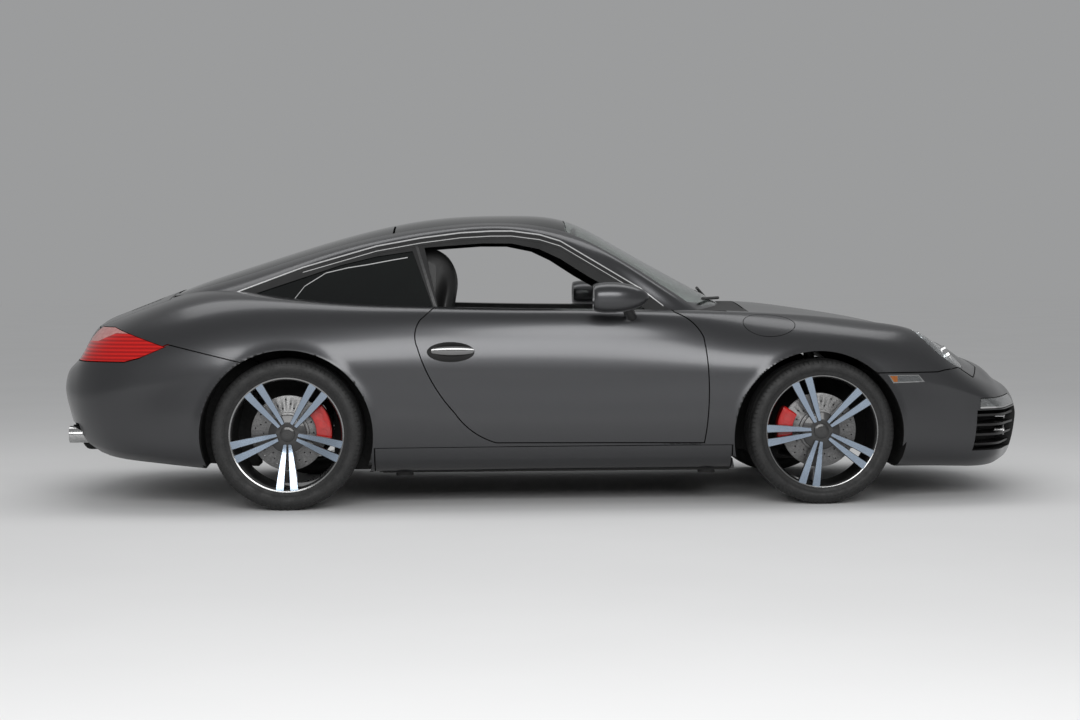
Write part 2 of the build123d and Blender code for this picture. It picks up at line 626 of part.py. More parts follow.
def roof_frame():
    """Pillars and rails as one thick pressing each side, and two cross bars under the seams of the glass."""
    frame = half_sheet(ROOF_STATIONS, roof_keys, 0, 0.0, FRAME_DEPTH, *ROOF_SPAN)
    frame = frame - plan_polygon(TOP_GLASS_HALF, GLASS_GAP, *TALL)
    frame = frame - side_polygon(DOOR_WINDOW, -FAR_Y, 0) - side_polygon(QUARTER_WINDOW, -FAR_Y, 0)
    frame = frame - middle
    frame = main_solids(frame - rear)
    sheet = half_sheet(ROOF_STATIONS, roof_keys, 2, GLASS_SINK + GLASS + SEAT_GAP, LEDGE_DEPTH, *ROOF_SPAN)
    sheet = sheet & plan_polygon(TOP_GLASS_HALF, GLASS_GAP - SEAT_GAP, *TALL)
    bars = [join(sheet & block(span, (-FAR_Y, 0), TALL)) for span in ROOF_BARS_X]
    return Compound(list(pair(frame).solids()) + [solid for one in bars for solid in one.solids()])


def roof_trim():
    """The bright strips along the roof rails."""
    band = TRIM_SIDE + [(x, z - TRIM_DROP) for x, z in reversed(TRIM_SIDE)]
    sheet = half_sheet(ROOF_STATIONS, roof_keys, 0, -TRIM_PROUD - SEAT_GAP, TRIM_PROUD, *ROOF_SPAN)
    return pair((sheet & side_polygon(band, -FAR_Y, 0)) - rear - middle)


save("roof_frame", roof_frame())
save("roof_trim", roof_trim())
top_glass = half_sheet(ROOF_STATIONS, roof_keys, 1, GLASS_SINK, GLASS, *ROOF_SPAN)
fixed_glass = top_glass & plan_polygon(TOP_GLASS_HALF, GLASS_GAP - SEAT_GAP, *TALL)
hatch = top_glass & plan_polygon(TOP_GLASS_HALF, 0, *TALL)
save("windscreen", join(fixed_glass & block((WINDSCREEN_REAR_X, ROOF_SPAN[1]), (-FAR_Y, 0), TALL)))
save("roof_glass", join(fixed_glass & block(ROOF_GLASS_X, (-FAR_Y, 0), TALL)))
save("rear_hatch_glass", join(hatch & block((ROOF_SPAN[0], HATCH_FRONT_X), (-FAR_Y, 0), TALL)))
side_glass = half_sheet(ROOF_STATIONS, roof_keys, 0, GLASS_SINK, GLASS, *ROOF_SPAN)
quarter_glass = (side_glass & side_polygon(QUARTER_WINDOW, -FAR_Y, 0, -SEAT_GAP)) - rear - middle
save("quarter_glass", pair(main_solids(quarter_glass)))

# Rear end


def rear_side():
    """The right half of the tail with its wheel well, its lamp room, the lid's room and the engine bay."""
    lamp_room = side_polygon(TAIL_LAMP, TAIL_LAMP_Y[0], TAIL_LAMP_Y[1] + LAMP_GAP, LAMP_GAP)
    side = rear - wheel_well(REAR_AXLE_X, REAR_ARCH_Z, REAR_WELL_Y) - lamp_room
    side = side - plan_polygon(ENGINE_LID_HALF, PANEL_GAP, *TALL)
    return side - block(*ENGINE_BAY) - block(*LID_BAY)


def quarter_panels(side):
    """Both rear quarters, from the doors over the wheels to the tail, with the walls of the cabin."""
    quarter = side - side_polygon(REAR_BUMPER_SIDE, -FAR_Y, 0, PANEL_GAP) - door_cut
    top_x = (REAR_SPAN[0], REAR_BUMPER_TOP[0][1] + PANEL_GAP)
    quarter = quarter - block(top_x, (REAR_BUMPER_TOP[1][0] - PANEL_GAP, 0), TALL)
    for room in (CABIN, REAR_CABIN, LOAD_SPACE, ARM_ROOM):
        quarter = quarter - block(*room)
    return join(main_solids(quarter - skirt_room))


def rear_bumper(side):
    """The rear bumper, with the rooms of the tailpipes."""
    zone = side_polygon(REAR_BUMPER_SIDE, -FAR_Y, 0) + block(*REAR_BUMPER_TOP)
    pipe_room = block((REAR_SPAN[0], TAILPIPE_X[1] + SEAT_GAP), EXHAUST_CUT_Y, EXHAUST_CUT_Z)
    return join(main_solids((side & zone) - pipe_room))


def engine_lid():
    """The lid over the engine, with a row of air slots across it."""
    sheet = half_sheet(BODY_STATIONS, body_keys, 3, 0.0, LID_DEPTH, *LID_SPAN)
    lid = sheet & plan_polygon(ENGINE_LID_HALF, 0, *TALL)
    for i in range(GRILLE_SLOTS):
        x = GRILLE_FIRST_X - i * GRILLE_PITCH
        lid = lid - block((x - GRILLE_SLOT_W, x), (-GRILLE_HALF_Y, 0), TALL)
    return join(lid)


tail = rear_side()
save("quarter_panels", quarter_panels(tail))
save("rear_bumper", rear_bumper(tail))
save("tail_lamps", pair(main_solids(rear & side_polygon(TAIL_LAMP, *TAIL_LAMP_Y))))
save("engine_lid", engine_lid())
save("side_skirts", pair(main_solids(middle & block(SKIRT_X, (-FAR_Y, -SKIRT_INNER_Y), (0, SKIRT_TOP_Z)))))

# Floor and cabin


def floor_pan():
    """The floor with its sills, tunnel, bulkheads, luggage tub and jacking pads."""
    half = block((SILL_REAR_X, SKIRT_X[1]), (SEAT_GAP - SKIRT_INNER_Y, -SILL_INNER_Y), SILL_Z)
    for spans in FLOOR_BLOCKS:
        half += block(*spans)
    half += block(*LUGGAGE_TUB) - block(*LUGGAGE_ROOM)
    for x, y in JACK_PADS:
        half += bar((x, y, JACK_PAD_Z[0]), (x, y, JACK_PAD_Z[1]), JACK_PAD_R)
    return join(half)


def front_seat():
    """The right front seat: cushion, back and head rest on posts, on a rail that stands on the floor."""
    seat = side_polygon(SEAT_CUSHION, -SEAT_HALF_W, SEAT_HALF_W)
    seat += side_polygon(SEAT_BACK, -SEAT_HALF_W, SEAT_HALF_W)
    seat += side_polygon(SEAT_HEAD, -SEAT_HEAD_HALF_W, SEAT_HEAD_HALF_W)
    for y in (-SEAT_POST_Y, SEAT_POST_Y):
        seat += bar((SEAT_POST_X, y, SEAT_POST_Z[0]), (SEAT_POST_X, y, SEAT_POST_Z[1]), SEAT_POST_R)
    rail_z = (FLOOR_TOP_Z + SEAT_GAP, SEAT_RAIL_TOP_Z)
    return Pos(0, -SEAT_Y, 0) * (seat + block(SEAT_RAIL_X, (-SEAT_RAIL_HALF_W, SEAT_RAIL_HALF_W), rail_z))


def dashboard():
    """The dashboard with its binnacle and the steering column, which ends close behind the wheel."""
    board = side_polygon(DASH_SIDE, -DASH_HALF_W, DASH_HALF_W)
    for y in ((-DASH_HALF_W, -DASH_TOP_HALF_W), (DASH_TOP_HALF_W, DASH_HALF_W)):
        board -= block((DASH_SIDE[0][0], SKIRT_X[1]), y, (DASH_SHOULDER_Z, TALL[1]))
    mid = STEERING_CENTRE[1]
    board += side_polygon(BINNACLE_SIDE, mid - BINNACLE_HALF_W, mid + BINNACLE_HALF_W)
    start = Vector(*STEERING_CENTRE) + column * (STEERING_HUB_T / 2 + SEAT_GAP)
    end = start + column * COLUMN_LENGTH
    return board + bar(tuple(start), tuple(end), COLUMN_R)


def steering_wheel():
    """The steering wheel: a round rim, two spokes and a hub, square to its column."""
    ring_r = STEERING_R - STEERING_RIM_R
    wheel = Torus(ring_r, STEERING_RIM_R) + Cylinder(STEERING_HUB_R, STEERING_HUB_T)
    wheel += Box(2 * ring_r, STEERING_SPOKE_W, STEERING_SPOKE_T)
    return Plane(origin=STEERING_CENTRE, x_dir=(0, 1, 0), z_dir=column) * wheel


tilt = radians(STEERING_TILT_DEG)
column = Vector(cos(tilt), 0, -sin(tilt))
save("floor_pan", floor_pan())
save("front_seats", pair(front_seat()))
bench = side_polygon(REAR_SEAT_CUSHION, *REAR_SEAT_Y) + side_polygon(REAR_SEAT_BACK, *REAR_SEAT_Y)
save("rear_seats", pair(bench))
save("dashboard", dashboard())
save("steering_wheel", steering_wheel())
save("interior_mirror", Pos(*MIRROR_IN_CENTRE) * Box(*MIRROR_IN_SIZE))
save("wipers", Compound([bar(start, end, WIPER_R) for start, end in WIPER_ARMS]))

# Drive and running gear


def exhaust():
    """A cross silencer and four tailpipes with open ends."""
    pipes = [bar(*MUFFLER, MUFFLER_R)]
    for y in TAILPIPE_Y:
        end = (TAILPIPE_X[0], y, TAILPIPE_Z)
        pipe = bar((TAILPIPE_X[1], y, TAILPIPE_Z), end, TAILPIPE_R)
        bore = bar((end[0] + TAILPIPE_BORE, y, TAILPIPE_Z), end, TAILPIPE_R - TAILPIPE_WALL)
        pipes += [pipe - bore, (pipe - bore).mirror(Plane.XZ)]
    return Compound([solid for pipe in pipes for solid in pipe.solids()])


def tyre(radius, width):
    """A tyre turned about Y from a straight-sided profile, its beads between the lips of the rim."""
    half = width / 2
    bead = width * RIM_WIDTH_SHARE - RIM_LIP_W - SEAT_GAP
    tread = half - TYRE_TREAD_DROP
    lip = RIM_LIP_R + SEAT_GAP
    profile = [
        (TYRE_BEAD_R, -bead), (lip, -bead), (radius - TYRE_SHOULDER_H, -half), (radius, -tread),
        (radius, tread), (radius - TYRE_SHOULDER_H, half), (lip, bead), (TYRE_BEAD_R, bead),
    ]
    face = Face(Wire(Polyline(*[(r, y, 0) for r, y in profile], close=True).edges()))
    return revolve(face, Axis.Y, 360)


def hub_face(width, hub_sink):
    """The outboard face of the hub pad, measured from the middle of the wheel."""
    return hub_sink - width * RIM_WIDTH_SHARE


def rim_barrel(half):
    """The barrel of a rim with its two lips, turned about Y."""
    bead = TYRE_BEAD_R - SEAT_GAP
    profile = [
        (RIM_LIP_R, -half), (RIM_LIP_R, -half + RIM_LIP_W), (bead, -half + RIM_LIP_W),
        (bead, half - RIM_LIP_W), (RIM_LIP_R, half - RIM_LIP_W), (RIM_LIP_R, half),
        (TYRE_BEAD_R, half), (RIM_BARREL_R, half - RIM_LIP_BAND), (RIM_BARREL_R, -half + RIM_LIP_BAND),
        (TYRE_BEAD_R, -half),
    ]
    face = Face(Wire(Polyline(*[(r, y, 0) for r, y in profile], close=True).edges()))
    return revolve(face, Axis.Y, 360)


def rim(width, hub_sink, turn):
    """A rim with five twin spokes, which part and widen from the hub to the barrel, and lug holes."""
    half = width * RIM_WIDTH_SHARE
    pad_y = hub_face(width, hub_sink)
    shape = rim_barrel(half) + bar((0, pad_y, 0), (0, pad_y + HUB_PAD_DEPTH, 0), HUB_PAD_R)
    shape += bar((0, pad_y - CAP_HEIGHT, 0), (0, pad_y + SPOKE_DEPTH, 0), CAP_R)
    low_y = pad_y + SPOKE_DEPTH / 2
    high_y = -half + SPOKE_FACE_SINK + SPOKE_DEPTH / 2
    for twin in (-1, 1):
        low = Plane(origin=(twin * SPOKE_START_APART, low_y, SPOKE_START_R), z_dir=(0, 0, 1))
        high = Plane(origin=(twin * SPOKE_END_APART, high_y, RIM_BARREL_R + SPOKE_ROOT), z_dir=(0, 0, 1))
        ends = [low * Rectangle(SPOKE_W_HUB, SPOKE_DEPTH), high * Rectangle(SPOKE_W_RIM, SPOKE_DEPTH)]
        for i in range(SPOKE_PAIRS):
            shape += Rot(0, turn + i * 360 / SPOKE_PAIRS, 0) * loft(ends)
    hole = bar((0, pad_y - CAP_HEIGHT, LUG_CIRCLE_R), (0, pad_y + LUG_HOLE_DEPTH, LUG_CIRCLE_R), LUG_HOLE_R)
    for i in range(SPOKE_PAIRS):
        shape -= Rot(0, turn + i * 360 / SPOKE_PAIRS, 0) * hole
    return shape


def disc_place(width, hub_sink):
    """The outboard and inboard faces of a brake disc, measured from the middle of its wheel."""
    out_y = hub_face(width, hub_sink) + HUB_PAD_DEPTH + DISC_BELL_DEPTH
    return out_y, out_y + DISC_T


def brake_disc(width, hub_sink):
    """A brake disc with its bell, seated on the back of the hub pad."""
    out_y, in_y = disc_place(width, hub_sink)
    shape = bar((0, out_y, 0), (0, in_y, 0), DISC_R)
    shape += bar((0, out_y - DISC_BELL_DEPTH + SEAT_GAP, 0), (0, in_y, 0), DISC_BELL_R)
    return shape - bar((0, out_y, 0), (0, in_y, 0), HUB_STUB_R + DISC_CLEAR)


def caliper_reach():
    """How far a caliper stands past each face of its disc."""
    return (CALIPER_T - DISC_T) / 2


def caliper(width, hub_sink, centre_deg):
    """A brake caliper: a sector of a ring with a slot for the disc."""
    out_y, in_y = disc_place(width, hub_sink)
    reach = caliper_reach()
    ring = bar((0, out_y - reach, 0), (0, in_y + reach, 0), CALIPER_OUT_R)
    ring -= bar((0, out_y - reach, 0), (0, in_y + reach, 0), CALIPER_IN_R)
    ring -= bar((0, out_y - CALIPER_CLEAR, 0), (0, in_y + CALIPER_CLEAR, 0), DISC_R + CALIPER_CLEAR)
    far = CALIPER_OUT_R * 2
    half = radians(CALIPER_SPAN_DEG / 2)
    corners = [(0, 0, 0), (far * cos(half), 0, far * sin(half)), (far * cos(half), 0, -far * sin(half))]
    face = Face(Wire(Polyline(*corners, close=True).edges()))
    wedge = extrude(Pos(0, out_y - reach, 0) * face, CALIPER_T, dir=(0, 1, 0))
    return Rot(0, -centre_deg, 0) * (ring & wedge)


def upright(width, hub_sink, inboard_y, centre_deg):
    """The carrier of a wheel: a stub through the disc, a plate inboard of it and the caliper's bracket."""
    out_y, in_y = disc_place(width, hub_sink)
    shape = bar((0, out_y + HUB_CLEAR, 0), (0, inboard_y, 0), HUB_STUB_R)
    shape += block((-UPRIGHT_HALF_X, UPRIGHT_HALF_X), (inboard_y - UPRIGHT_T, inboard_y), UPRIGHT_Z)
    bracket_y = (in_y + caliper_reach() + SEAT_GAP, inboard_y)
    bracket = block((0, BRACKET_REACH), bracket_y, (-BRACKET_HALF_W, BRACKET_HALF_W))
    return shape + Rot(0, -centre_deg, 0) * bracket


def arms(subframe, links):
    """A subframe of the right half with its links."""
    shape = block(*subframe)
    for start, end, radius in links:
        shape += bar(start, end, radius)
    return shape


# Each axle: place of the right wheel, tyre radius and width, hub sink, carrier depth, caliper and spoke turns
AXLES = {
    "front": (Pos(FRONT_AXLE_X, -FRONT_TRACK / 2, FRONT_HUB_Z), FRONT_TYRE_R, FRONT_TYRE_W, FRONT_HUB_SINK,
              FRONT_INBOARD, FRONT_CALIPER_DEG, FRONT_TURN_DEG),
    "rear": (Pos(REAR_AXLE_X, -REAR_TRACK / 2, REAR_HUB_Z), REAR_TYRE_R, REAR_TYRE_W, REAR_HUB_SINK,
             REAR_INBOARD, REAR_CALIPER_DEG, REAR_TURN_DEG),
}
save("engine", block(*ENGINE_SIZE))
save("exhaust", exhaust())
for axle, (place, radius, width, sink, inboard, brake_deg, turn) in AXLES.items():
    pieces = {
        "tyre": place * tyre(radius, width),
        "rim": place * rim(width, sink, turn),
        "disc": place * brake_disc(width, sink),
        "caliper": place * caliper(width, sink, brake_deg),
        "upright": place * upright(width, sink, inboard, brake_deg),
    }
    if axle == "rear":
        save("rear_calipers", pair(pieces.pop("caliper")))
        save("rear_suspension", join(arms(REAR_SUBFRAME, REAR_ARMS) + pieces.pop("upright")))
    for name, shape in pieces.items():
        save(f"{axle}_{name}_right", shape)
        save(f"{axle}_{name}_left", shape.mirror(Plane.XZ))
save("front_suspension", both(join(arms(FRONT_SUBFRAME, FRONT_ARMS)), pair(bar(*STRUT))))
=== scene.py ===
import math

import bmesh
import bpy
import numpy as np
from mathutils import Matrix, Vector
from mathutils.bvhtree import BVHTree
from mathutils.interpolate import poly_3d_calc


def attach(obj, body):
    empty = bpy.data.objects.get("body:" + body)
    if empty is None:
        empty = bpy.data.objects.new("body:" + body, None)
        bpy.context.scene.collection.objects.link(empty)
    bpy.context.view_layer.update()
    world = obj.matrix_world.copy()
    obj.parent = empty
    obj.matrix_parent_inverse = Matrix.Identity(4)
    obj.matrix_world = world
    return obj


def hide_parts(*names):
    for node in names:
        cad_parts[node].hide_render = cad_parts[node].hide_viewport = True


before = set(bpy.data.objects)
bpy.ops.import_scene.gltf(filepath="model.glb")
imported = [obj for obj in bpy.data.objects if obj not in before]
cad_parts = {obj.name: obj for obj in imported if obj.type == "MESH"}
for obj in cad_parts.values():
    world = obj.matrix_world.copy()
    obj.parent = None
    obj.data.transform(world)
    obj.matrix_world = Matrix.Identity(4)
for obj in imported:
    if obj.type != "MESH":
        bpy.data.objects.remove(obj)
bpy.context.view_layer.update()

# Body shell.
# The lower body is one smooth pressed form from bumper to bumper. Its cross-sections, from tail to nose, are
# joined by smooth curves into one closed skin, which the real panel gaps then divide.
FRONT_AXLE = 1.2025
REAR_AXLE = FRONT_AXLE - 2.350
GAP = 0.005
# x, foot y z, lower edge y z, widest y z, shoulder y z, crest y z, valley y z, centre line z, in millimetres
BODY_STATIONS = [
    (-2217, 90, 480, 150, 485, 200, 515, 180, 545, 120, 553, 60, 556, 557),
    (-2200, 150, 445, 260, 455, 350, 515, 310, 565, 220, 582, 110, 588, 590),
    (-2155, 300, 380, 470, 400, 560, 500, 510, 590, 400, 622, 200, 638, 642),
    (-2110, 380, 262, 550, 300, 655, 490, 610, 610, 490, 655, 260, 700, 716),
    (-2050, 430, 238, 640, 280, 738, 480, 706, 635, 610, 705, 400, 780, 808),
    (-1950, 520, 222, 725, 258, 820, 490, 790, 660, 710, 752, 515, 822, 860),
    (-1760, 620, 205, 825, 240, 878, 535, 848, 705, 740, 828, 560, 888, 934),
    (-1480, 650, 180, 872, 215, 917, 590, 872, 775, 755, 900, 600, 952, 1000),
    (-1147, 650, 160, 882, 205, 924, 610, 876, 795, 782, 903, 650, 925, 940),
    (-820, 650, 151, 858, 205, 902, 600, 866, 783, 793, 882, 662, 892, 898),
    (-500, 650, 147, 844, 205, 882, 592, 857, 764, 796, 870, 668, 877, 880),
    (-190, 650, 145, 835, 205, 869, 586, 849, 750, 796, 861, 670, 868, 869),
    (150, 650, 145, 832, 205, 864, 580, 844, 745, 795, 856, 670, 862, 864),
    (600, 640, 145, 832, 205, 866, 580, 836, 740, 770, 844, 640, 858, 872),
    (900, 630, 150, 840, 205, 880, 575, 834, 735, 722, 837, 590, 848, 886),
    (1202, 620, 155, 850, 205, 892, 570, 836, 730, 692, 823, 550, 820, 854),
    (1500, 600, 155, 822, 200, 876, 545, 822, 700, 682, 788, 500, 782, 803),
    (1700, 570, 150, 780, 195, 842, 520, 806, 635, 682, 728, 455, 730, 752),
    (1860, 540, 145, 735, 182, 808, 480, 775, 540, 682, 592, 430, 660, 684),
    (1960, 480, 140, 705, 182, 773, 440, 735, 490, 640, 536, 400, 596, 624),
    (2020, 430, 138, 660, 187, 742, 400, 690, 460, 590, 510, 350, 580, 600),
    (2093, 350, 150, 520, 190, 622, 370, 585, 430, 480, 480, 280, 528, 544),
    (2150, 280, 175, 400, 210, 500, 350, 470, 410, 370, 465, 220, 498, 508),
    (2190, 170, 250, 250, 290, 332, 380, 310, 420, 240, 452, 140, 470, 476),
    (2217, 80, 340, 120, 350, 160, 390, 140, 415, 100, 425, 50, 430, 432),
]
BODY_SAMPLES = (4, 32, 18, 18, 12, 26)
BODY_ROWS = 560


def hermite_chain(keys, first, last, samples):
    """A smooth half section through its key points, as an array of y and z."""
    directions = [first] + [b - a for a, b in zip(keys[:-2], keys[2:])] + [last]
    chain = []
    for p, q, s, t, count in zip(keys, keys[1:], directions, directions[1:], samples):
        reach = np.linalg.norm(q - p)
        s = s * reach / np.linalg.norm(s)
        t = t * reach / np.linalg.norm(t)
        u = np.linspace(0, 1, count, endpoint=False)[:, None]
        chain.append((2 * u**3 - 3 * u**2 + 1) * p + (u**3 - 2 * u**2 + u) * s
                     + (3 * u**2 - 2 * u**3) * q + (u**3 - u**2) * t)
    return np.vstack(chain + [keys[-1][None]])


def spline(t, values, wanted):
    """The natural cubic spline through values at t, read at the wanted places."""
    n = len(t)
    h = np.diff(t)
    flat = values.reshape(n, -1)
    a = np.zeros((n, n))
    a[0, 0] = a[-1, -1] = 1
    rhs = np.zeros_like(flat)
    for i in range(1, n - 1):
        a[i, i - 1 : i + 2] = h[i - 1], 2 * (h[i - 1] + h[i]), h[i]
        rhs[i] = 3 * ((flat[i + 1] - flat[i]) / h[i] - (flat[i] - flat[i - 1]) / h[i - 1])
    c = np.linalg.solve(a, rhs)
    b = np.diff(flat, axis=0) / h[:, None] - h[:, None] * (2 * c[:-1] + c[1:]) / 3
    d = np.diff(c, axis=0) / (3 * h[:, None])
    i = np.clip(np.searchsorted(t, wanted) - 1, 0, n - 2)
    u = (wanted - t[i])[:, None]
    out = flat[i] + b[i] * u + c[i] * u**2 + d[i] * u**3
    return out.reshape((len(wanted),) + values.shape[1:])


def section_grid(stations, columns, flat_foot, samples, rows):
    """Smooth half sections along the car: an array of rows by samples by x, y, z in metres, y to the left."""
    chains = []
    for row in stations:
        keys = [np.array(row[1 + 2 * i : 3 + 2 * i], float) for i in range(columns)]
        keys.append(np.array([0.0, row[-1]]))
        start = np.array([1.0, 0.0]) if flat_foot else keys[1] - keys[0]
        chain = hermite_chain(keys, start, np.array([-1.0, 0.0]), samples)
        chains.append(np.column_stack([np.full(len(chain), float(row[0])), chain]))
    chains = np.array(chains) / 1000
    steps = np.sqrt(((chains[1:] - chains[:-1]) ** 2).sum(2)).mean(1)
    t = np.concatenate([[0], np.cumsum(steps)])
    return spline(t, chains, np.linspace(0, t[-1], rows))


def mesh_of(name, points, faces):
    """A mesh from points and faces, with its faces turned outwards."""
    mesh = bpy.data.meshes.new(name)
    mesh.from_pydata([tuple(p) for p in points], [], faces)
    work = bmesh.new()
    work.from_mesh(mesh)
    bmesh.ops.remove_doubles(work, verts=work.verts, dist=1e-6)
    bmesh.ops.recalc_face_normals(work, faces=work.faces)
    work.to_mesh(mesh)
    work.free()
    return mesh


def thing(name, data):
    """An object in the scene for a mesh, a lamp or a camera."""
    item = bpy.data.objects.new(name, data)
    bpy.context.scene.collection.objects.link(item)
    return item


def hoops(rows, wide, around=False):
    """Faces that join each ring of points to the next, and the last to the first if they go around."""
    faces = []
    for r in range(rows if around else rows - 1):
        s = (r + 1) % rows
        for c in range(wide):
            n = (c + 1) % wide
            faces.append((r * wide + c, r * wide + n, s * wide + n, s * wide + c))
    return faces


def caps(rows, wide):
    """Faces over the first ring of points and over the last."""
    return [tuple(range(wide)), tuple(range((rows - 1) * wide, rows * wide))]


def sunk(grid, amount):
    """Half sections moved inwards, square to each section."""
    ahead = np.empty_like(grid)
    ahead[:, 1:-1] = grid[:, 2:] - grid[:, :-2]
    ahead[:, 0] = grid[:, 1] - grid[:, 0]
    ahead[:, -1] = (0, -1, 0)
    length = np.linalg.norm(ahead[:, :, 1:], axis=2)
    moved = grid.copy()
    moved[:, :, 1] -= amount * ahead[:, :, 2] / length
    moved[:, :, 2] += amount * ahead[:, :, 1] / length
    moved[:, -1, 1] = 0
    return moved


def closed_skin(name, grid):
    """A closed mesh from half sections and their mirror image, with flat ends and a flat foot."""
    ring = np.concatenate([grid, grid[:, -2::-1] * (1, -1, 1)], axis=1)
    rows, wide = ring.shape[:2]
    return mesh_of(name, ring.reshape(-1, 3), hoops(rows, wide) + caps(rows, wide))


ARCH_R = 0.376
FRONT_ARCH = (1.186, 0.302)
REAR_ARCH = (REAR_AXLE, 0.324)
ARCH_FLARES = ((FRONT_ARCH, 0.0045, 0.030), (REAR_ARCH, 0.0060, 0.044))
FLANK_Y = 0.74
END_BULGE, END_SHARES = 0.006, (0.97, 0.85, 0.65, 0.4, 0.15, 0.01)


def lipped(grid):
    """Half sections whose skin flares out a little towards the edge of each wheel arch."""
    moved = grid.copy()
    for (x, z), flare, reach in ARCH_FLARES:
        away = np.hypot(grid[..., 0] - x, grid[..., 2] - z) - ARCH_R
        share = np.clip(1 - away / reach, 0, 1)
        moved[..., 1] += np.where(grid[..., 1] > FLANK_Y, flare * share**2, 0)
    return moved


def rounded_ends(grid):
    """Half sections with more rows that close the nose and the tail roundly."""
    rows = []
    for end, out in ((grid[0], -1), (grid[-1], 1)):
        middle = np.array([end[0, 0], 0.0, end[:, 2].mean()])
        cap = [middle + (end - middle) * s + (out * END_BULGE * (1 - s**2), 0, 0) for s in END_SHARES]
        rows.append(np.array(cap if out == 1 else cap[::-1]))
    return np.concatenate([rows[0], grid, rows[1]])


body_grid = section_grid(BODY_STATIONS, 6, True, BODY_SAMPLES, BODY_ROWS)
body_mesh = closed_skin("body_master", rounded_ends(lipped(body_grid)))
PLACES = {"x": lambda a, b, d: (d, a, b), "y": lambda a, b, d: (a, d, b), "z": lambda a, b, d: (a, b, d)}


def prism(points, axis, low, high):
    """A cutter: an outline in the plane across an axis, drawn out along that axis from low to high."""
    corners = [PLACES[axis](a, b, depth) for depth in (low, high) for a, b in points]
    return mesh_of("cutter", corners, caps(2, len(points)) + hoops(2, len(points)))


def slab(x, y, z):
    """A box cutter between two values along each axis."""
    return prism([(x[0], y[0]), (x[1], y[0]), (x[1], y[1]), (x[0], y[1])], "z", *z)


def ring_points(centre, radius, count=96):
    """Points round a circle."""
    turns = [2 * math.pi * i / count for i in range(count)]
    return [(centre[0] + radius * math.cos(t), centre[1] + radius * math.sin(t)) for t in turns]


def grown(points, amount):
    """An outline moved outwards by an amount, or inwards where it is negative."""
    p = np.array(points, float)
    ahead = np.roll(p, -1, 0) - p
    area = (p[:, 0] * np.roll(p[:, 1], -1) - np.roll(p[:, 0], -1) * p[:, 1]).sum()
    normal = np.column_stack([ahead[:, 1], -ahead[:, 0]]) / np.linalg.norm(ahead, axis=1)[:, None]
    normal *= math.copysign(1, area)
    before = np.roll(normal, 1, 0)
    total = normal + before
    return p + amount * total * (2 / (total**2).sum(1))[:, None]


def arc_chain(points, count=10):
    """Points along a chain of arcs, each through three points that share their ends, in metres."""
    line = []
    for i in range(0, len(points) - 2, 2):
        a, b, c = (complex(*p) / 1000 for p in points[i : i + 3])
        w = (c - a) / (b - a)
        centre = a + (b - a) * (w - abs(w) ** 2) / (w - w.conjugate())
        first, second, third = (np.angle(v - centre) for v in (a, b, c))
        turn = (third - first) % (2 * math.pi)
        if (second - first) % (2 * math.pi) > turn:
            turn -= 2 * math.pi
        for k in range(0 if i == 0 else 1, count + 1):
            v = centre + abs(a - centre) * np.exp(1j * (first + turn * k / count))
            line.append((v.real, v.imag))
    return line


def metres(points):
    """Millimetre points in metres."""
    return [(a / 1000, b / 1000) for a, b in points]


def mirrored(points):
    """A plan outline of the right half together with its mirror image."""
    return points + [(x, -y) for x, y in reversed(points[1:-1])]


def carve(name, source, keep=(), take=()):
    """A piece of a closed mesh: what lies in all of the cutters to keep and in none of those to take."""
    item = thing(name, source.copy())
    cutters = []
    for operation, group in (("INTERSECT", keep), ("DIFFERENCE", take)):
        for cutter in group:
            cutters.append(thing("cutter", cutter))
            step = item.modifiers.new("cut", "BOOLEAN")
            step.operation = operation
            step.solver = "MANIFOLD"
            step.object = cutters[-1]
    graph = bpy.context.evaluated_depsgraph_get()
    mesh = bpy.data.meshes.new_from_object(item.evaluated_get(graph))
    item.modifiers.clear()
    item.data = mesh
    for cutter in cutters:
        bpy.data.objects.remove(cutter)
    return item


class Skin:
    """A smooth master surface that lends its normals to the pieces cut from it."""

    def __init__(self, mesh):
        self.mesh = mesh
        faces = [tuple(p.vertices) for p in mesh.polygons]
        self.tree = BVHTree.FromPolygons([v.co for v in mesh.vertices], faces)

    def normal_at(self, point, near=2e-4):
        """The smooth normal of the master surface at a point on it, or None."""
        place, _, index, distance = self.tree.find_nearest(point)
        if place is None or distance > near:
            return None
        corners = [self.mesh.vertices[i] for i in self.mesh.polygons[index].vertices]
        if len(corners) > 4:
            return None
        weights = poly_3d_calc([c.co for c in corners], place)
        total = Vector((0, 0, 0))
        for corner, weight in zip(corners, weights):
            total += corner.normal * weight
        return total.normalized()

    def dress(self, item, outside, inside):
        """Gives a cut piece the master's normals and two materials, on its skin and on its cut faces."""
        mesh = item.data
        mesh.materials.clear()
        mesh.materials.append(outside)
        mesh.materials.append(inside)
        found = [self.normal_at(v.co) for v in mesh.vertices]
        normals = [None] * len(mesh.loops)
        for face in mesh.polygons:
            face.use_smooth = True
            on_skin = all(found[i] is not None and found[i].dot(face.normal) > 0.5 for i in face.vertices)
            face.material_index = 0 if on_skin else 1
            for loop in face.loop_indices:
                normals[loop] = found[mesh.loops[loop].vertex_index] if on_skin else face.normal
        mesh.normals_split_custom_set([tuple(n) for n in normals])
        return item


body_skin = Skin(body_mesh)


def colour(tone):
    """An opaque colour from a grey level or from red, green and blue."""
    return (*tone, 1.0) if isinstance(tone, tuple) else (tone, tone, tone, 1.0)


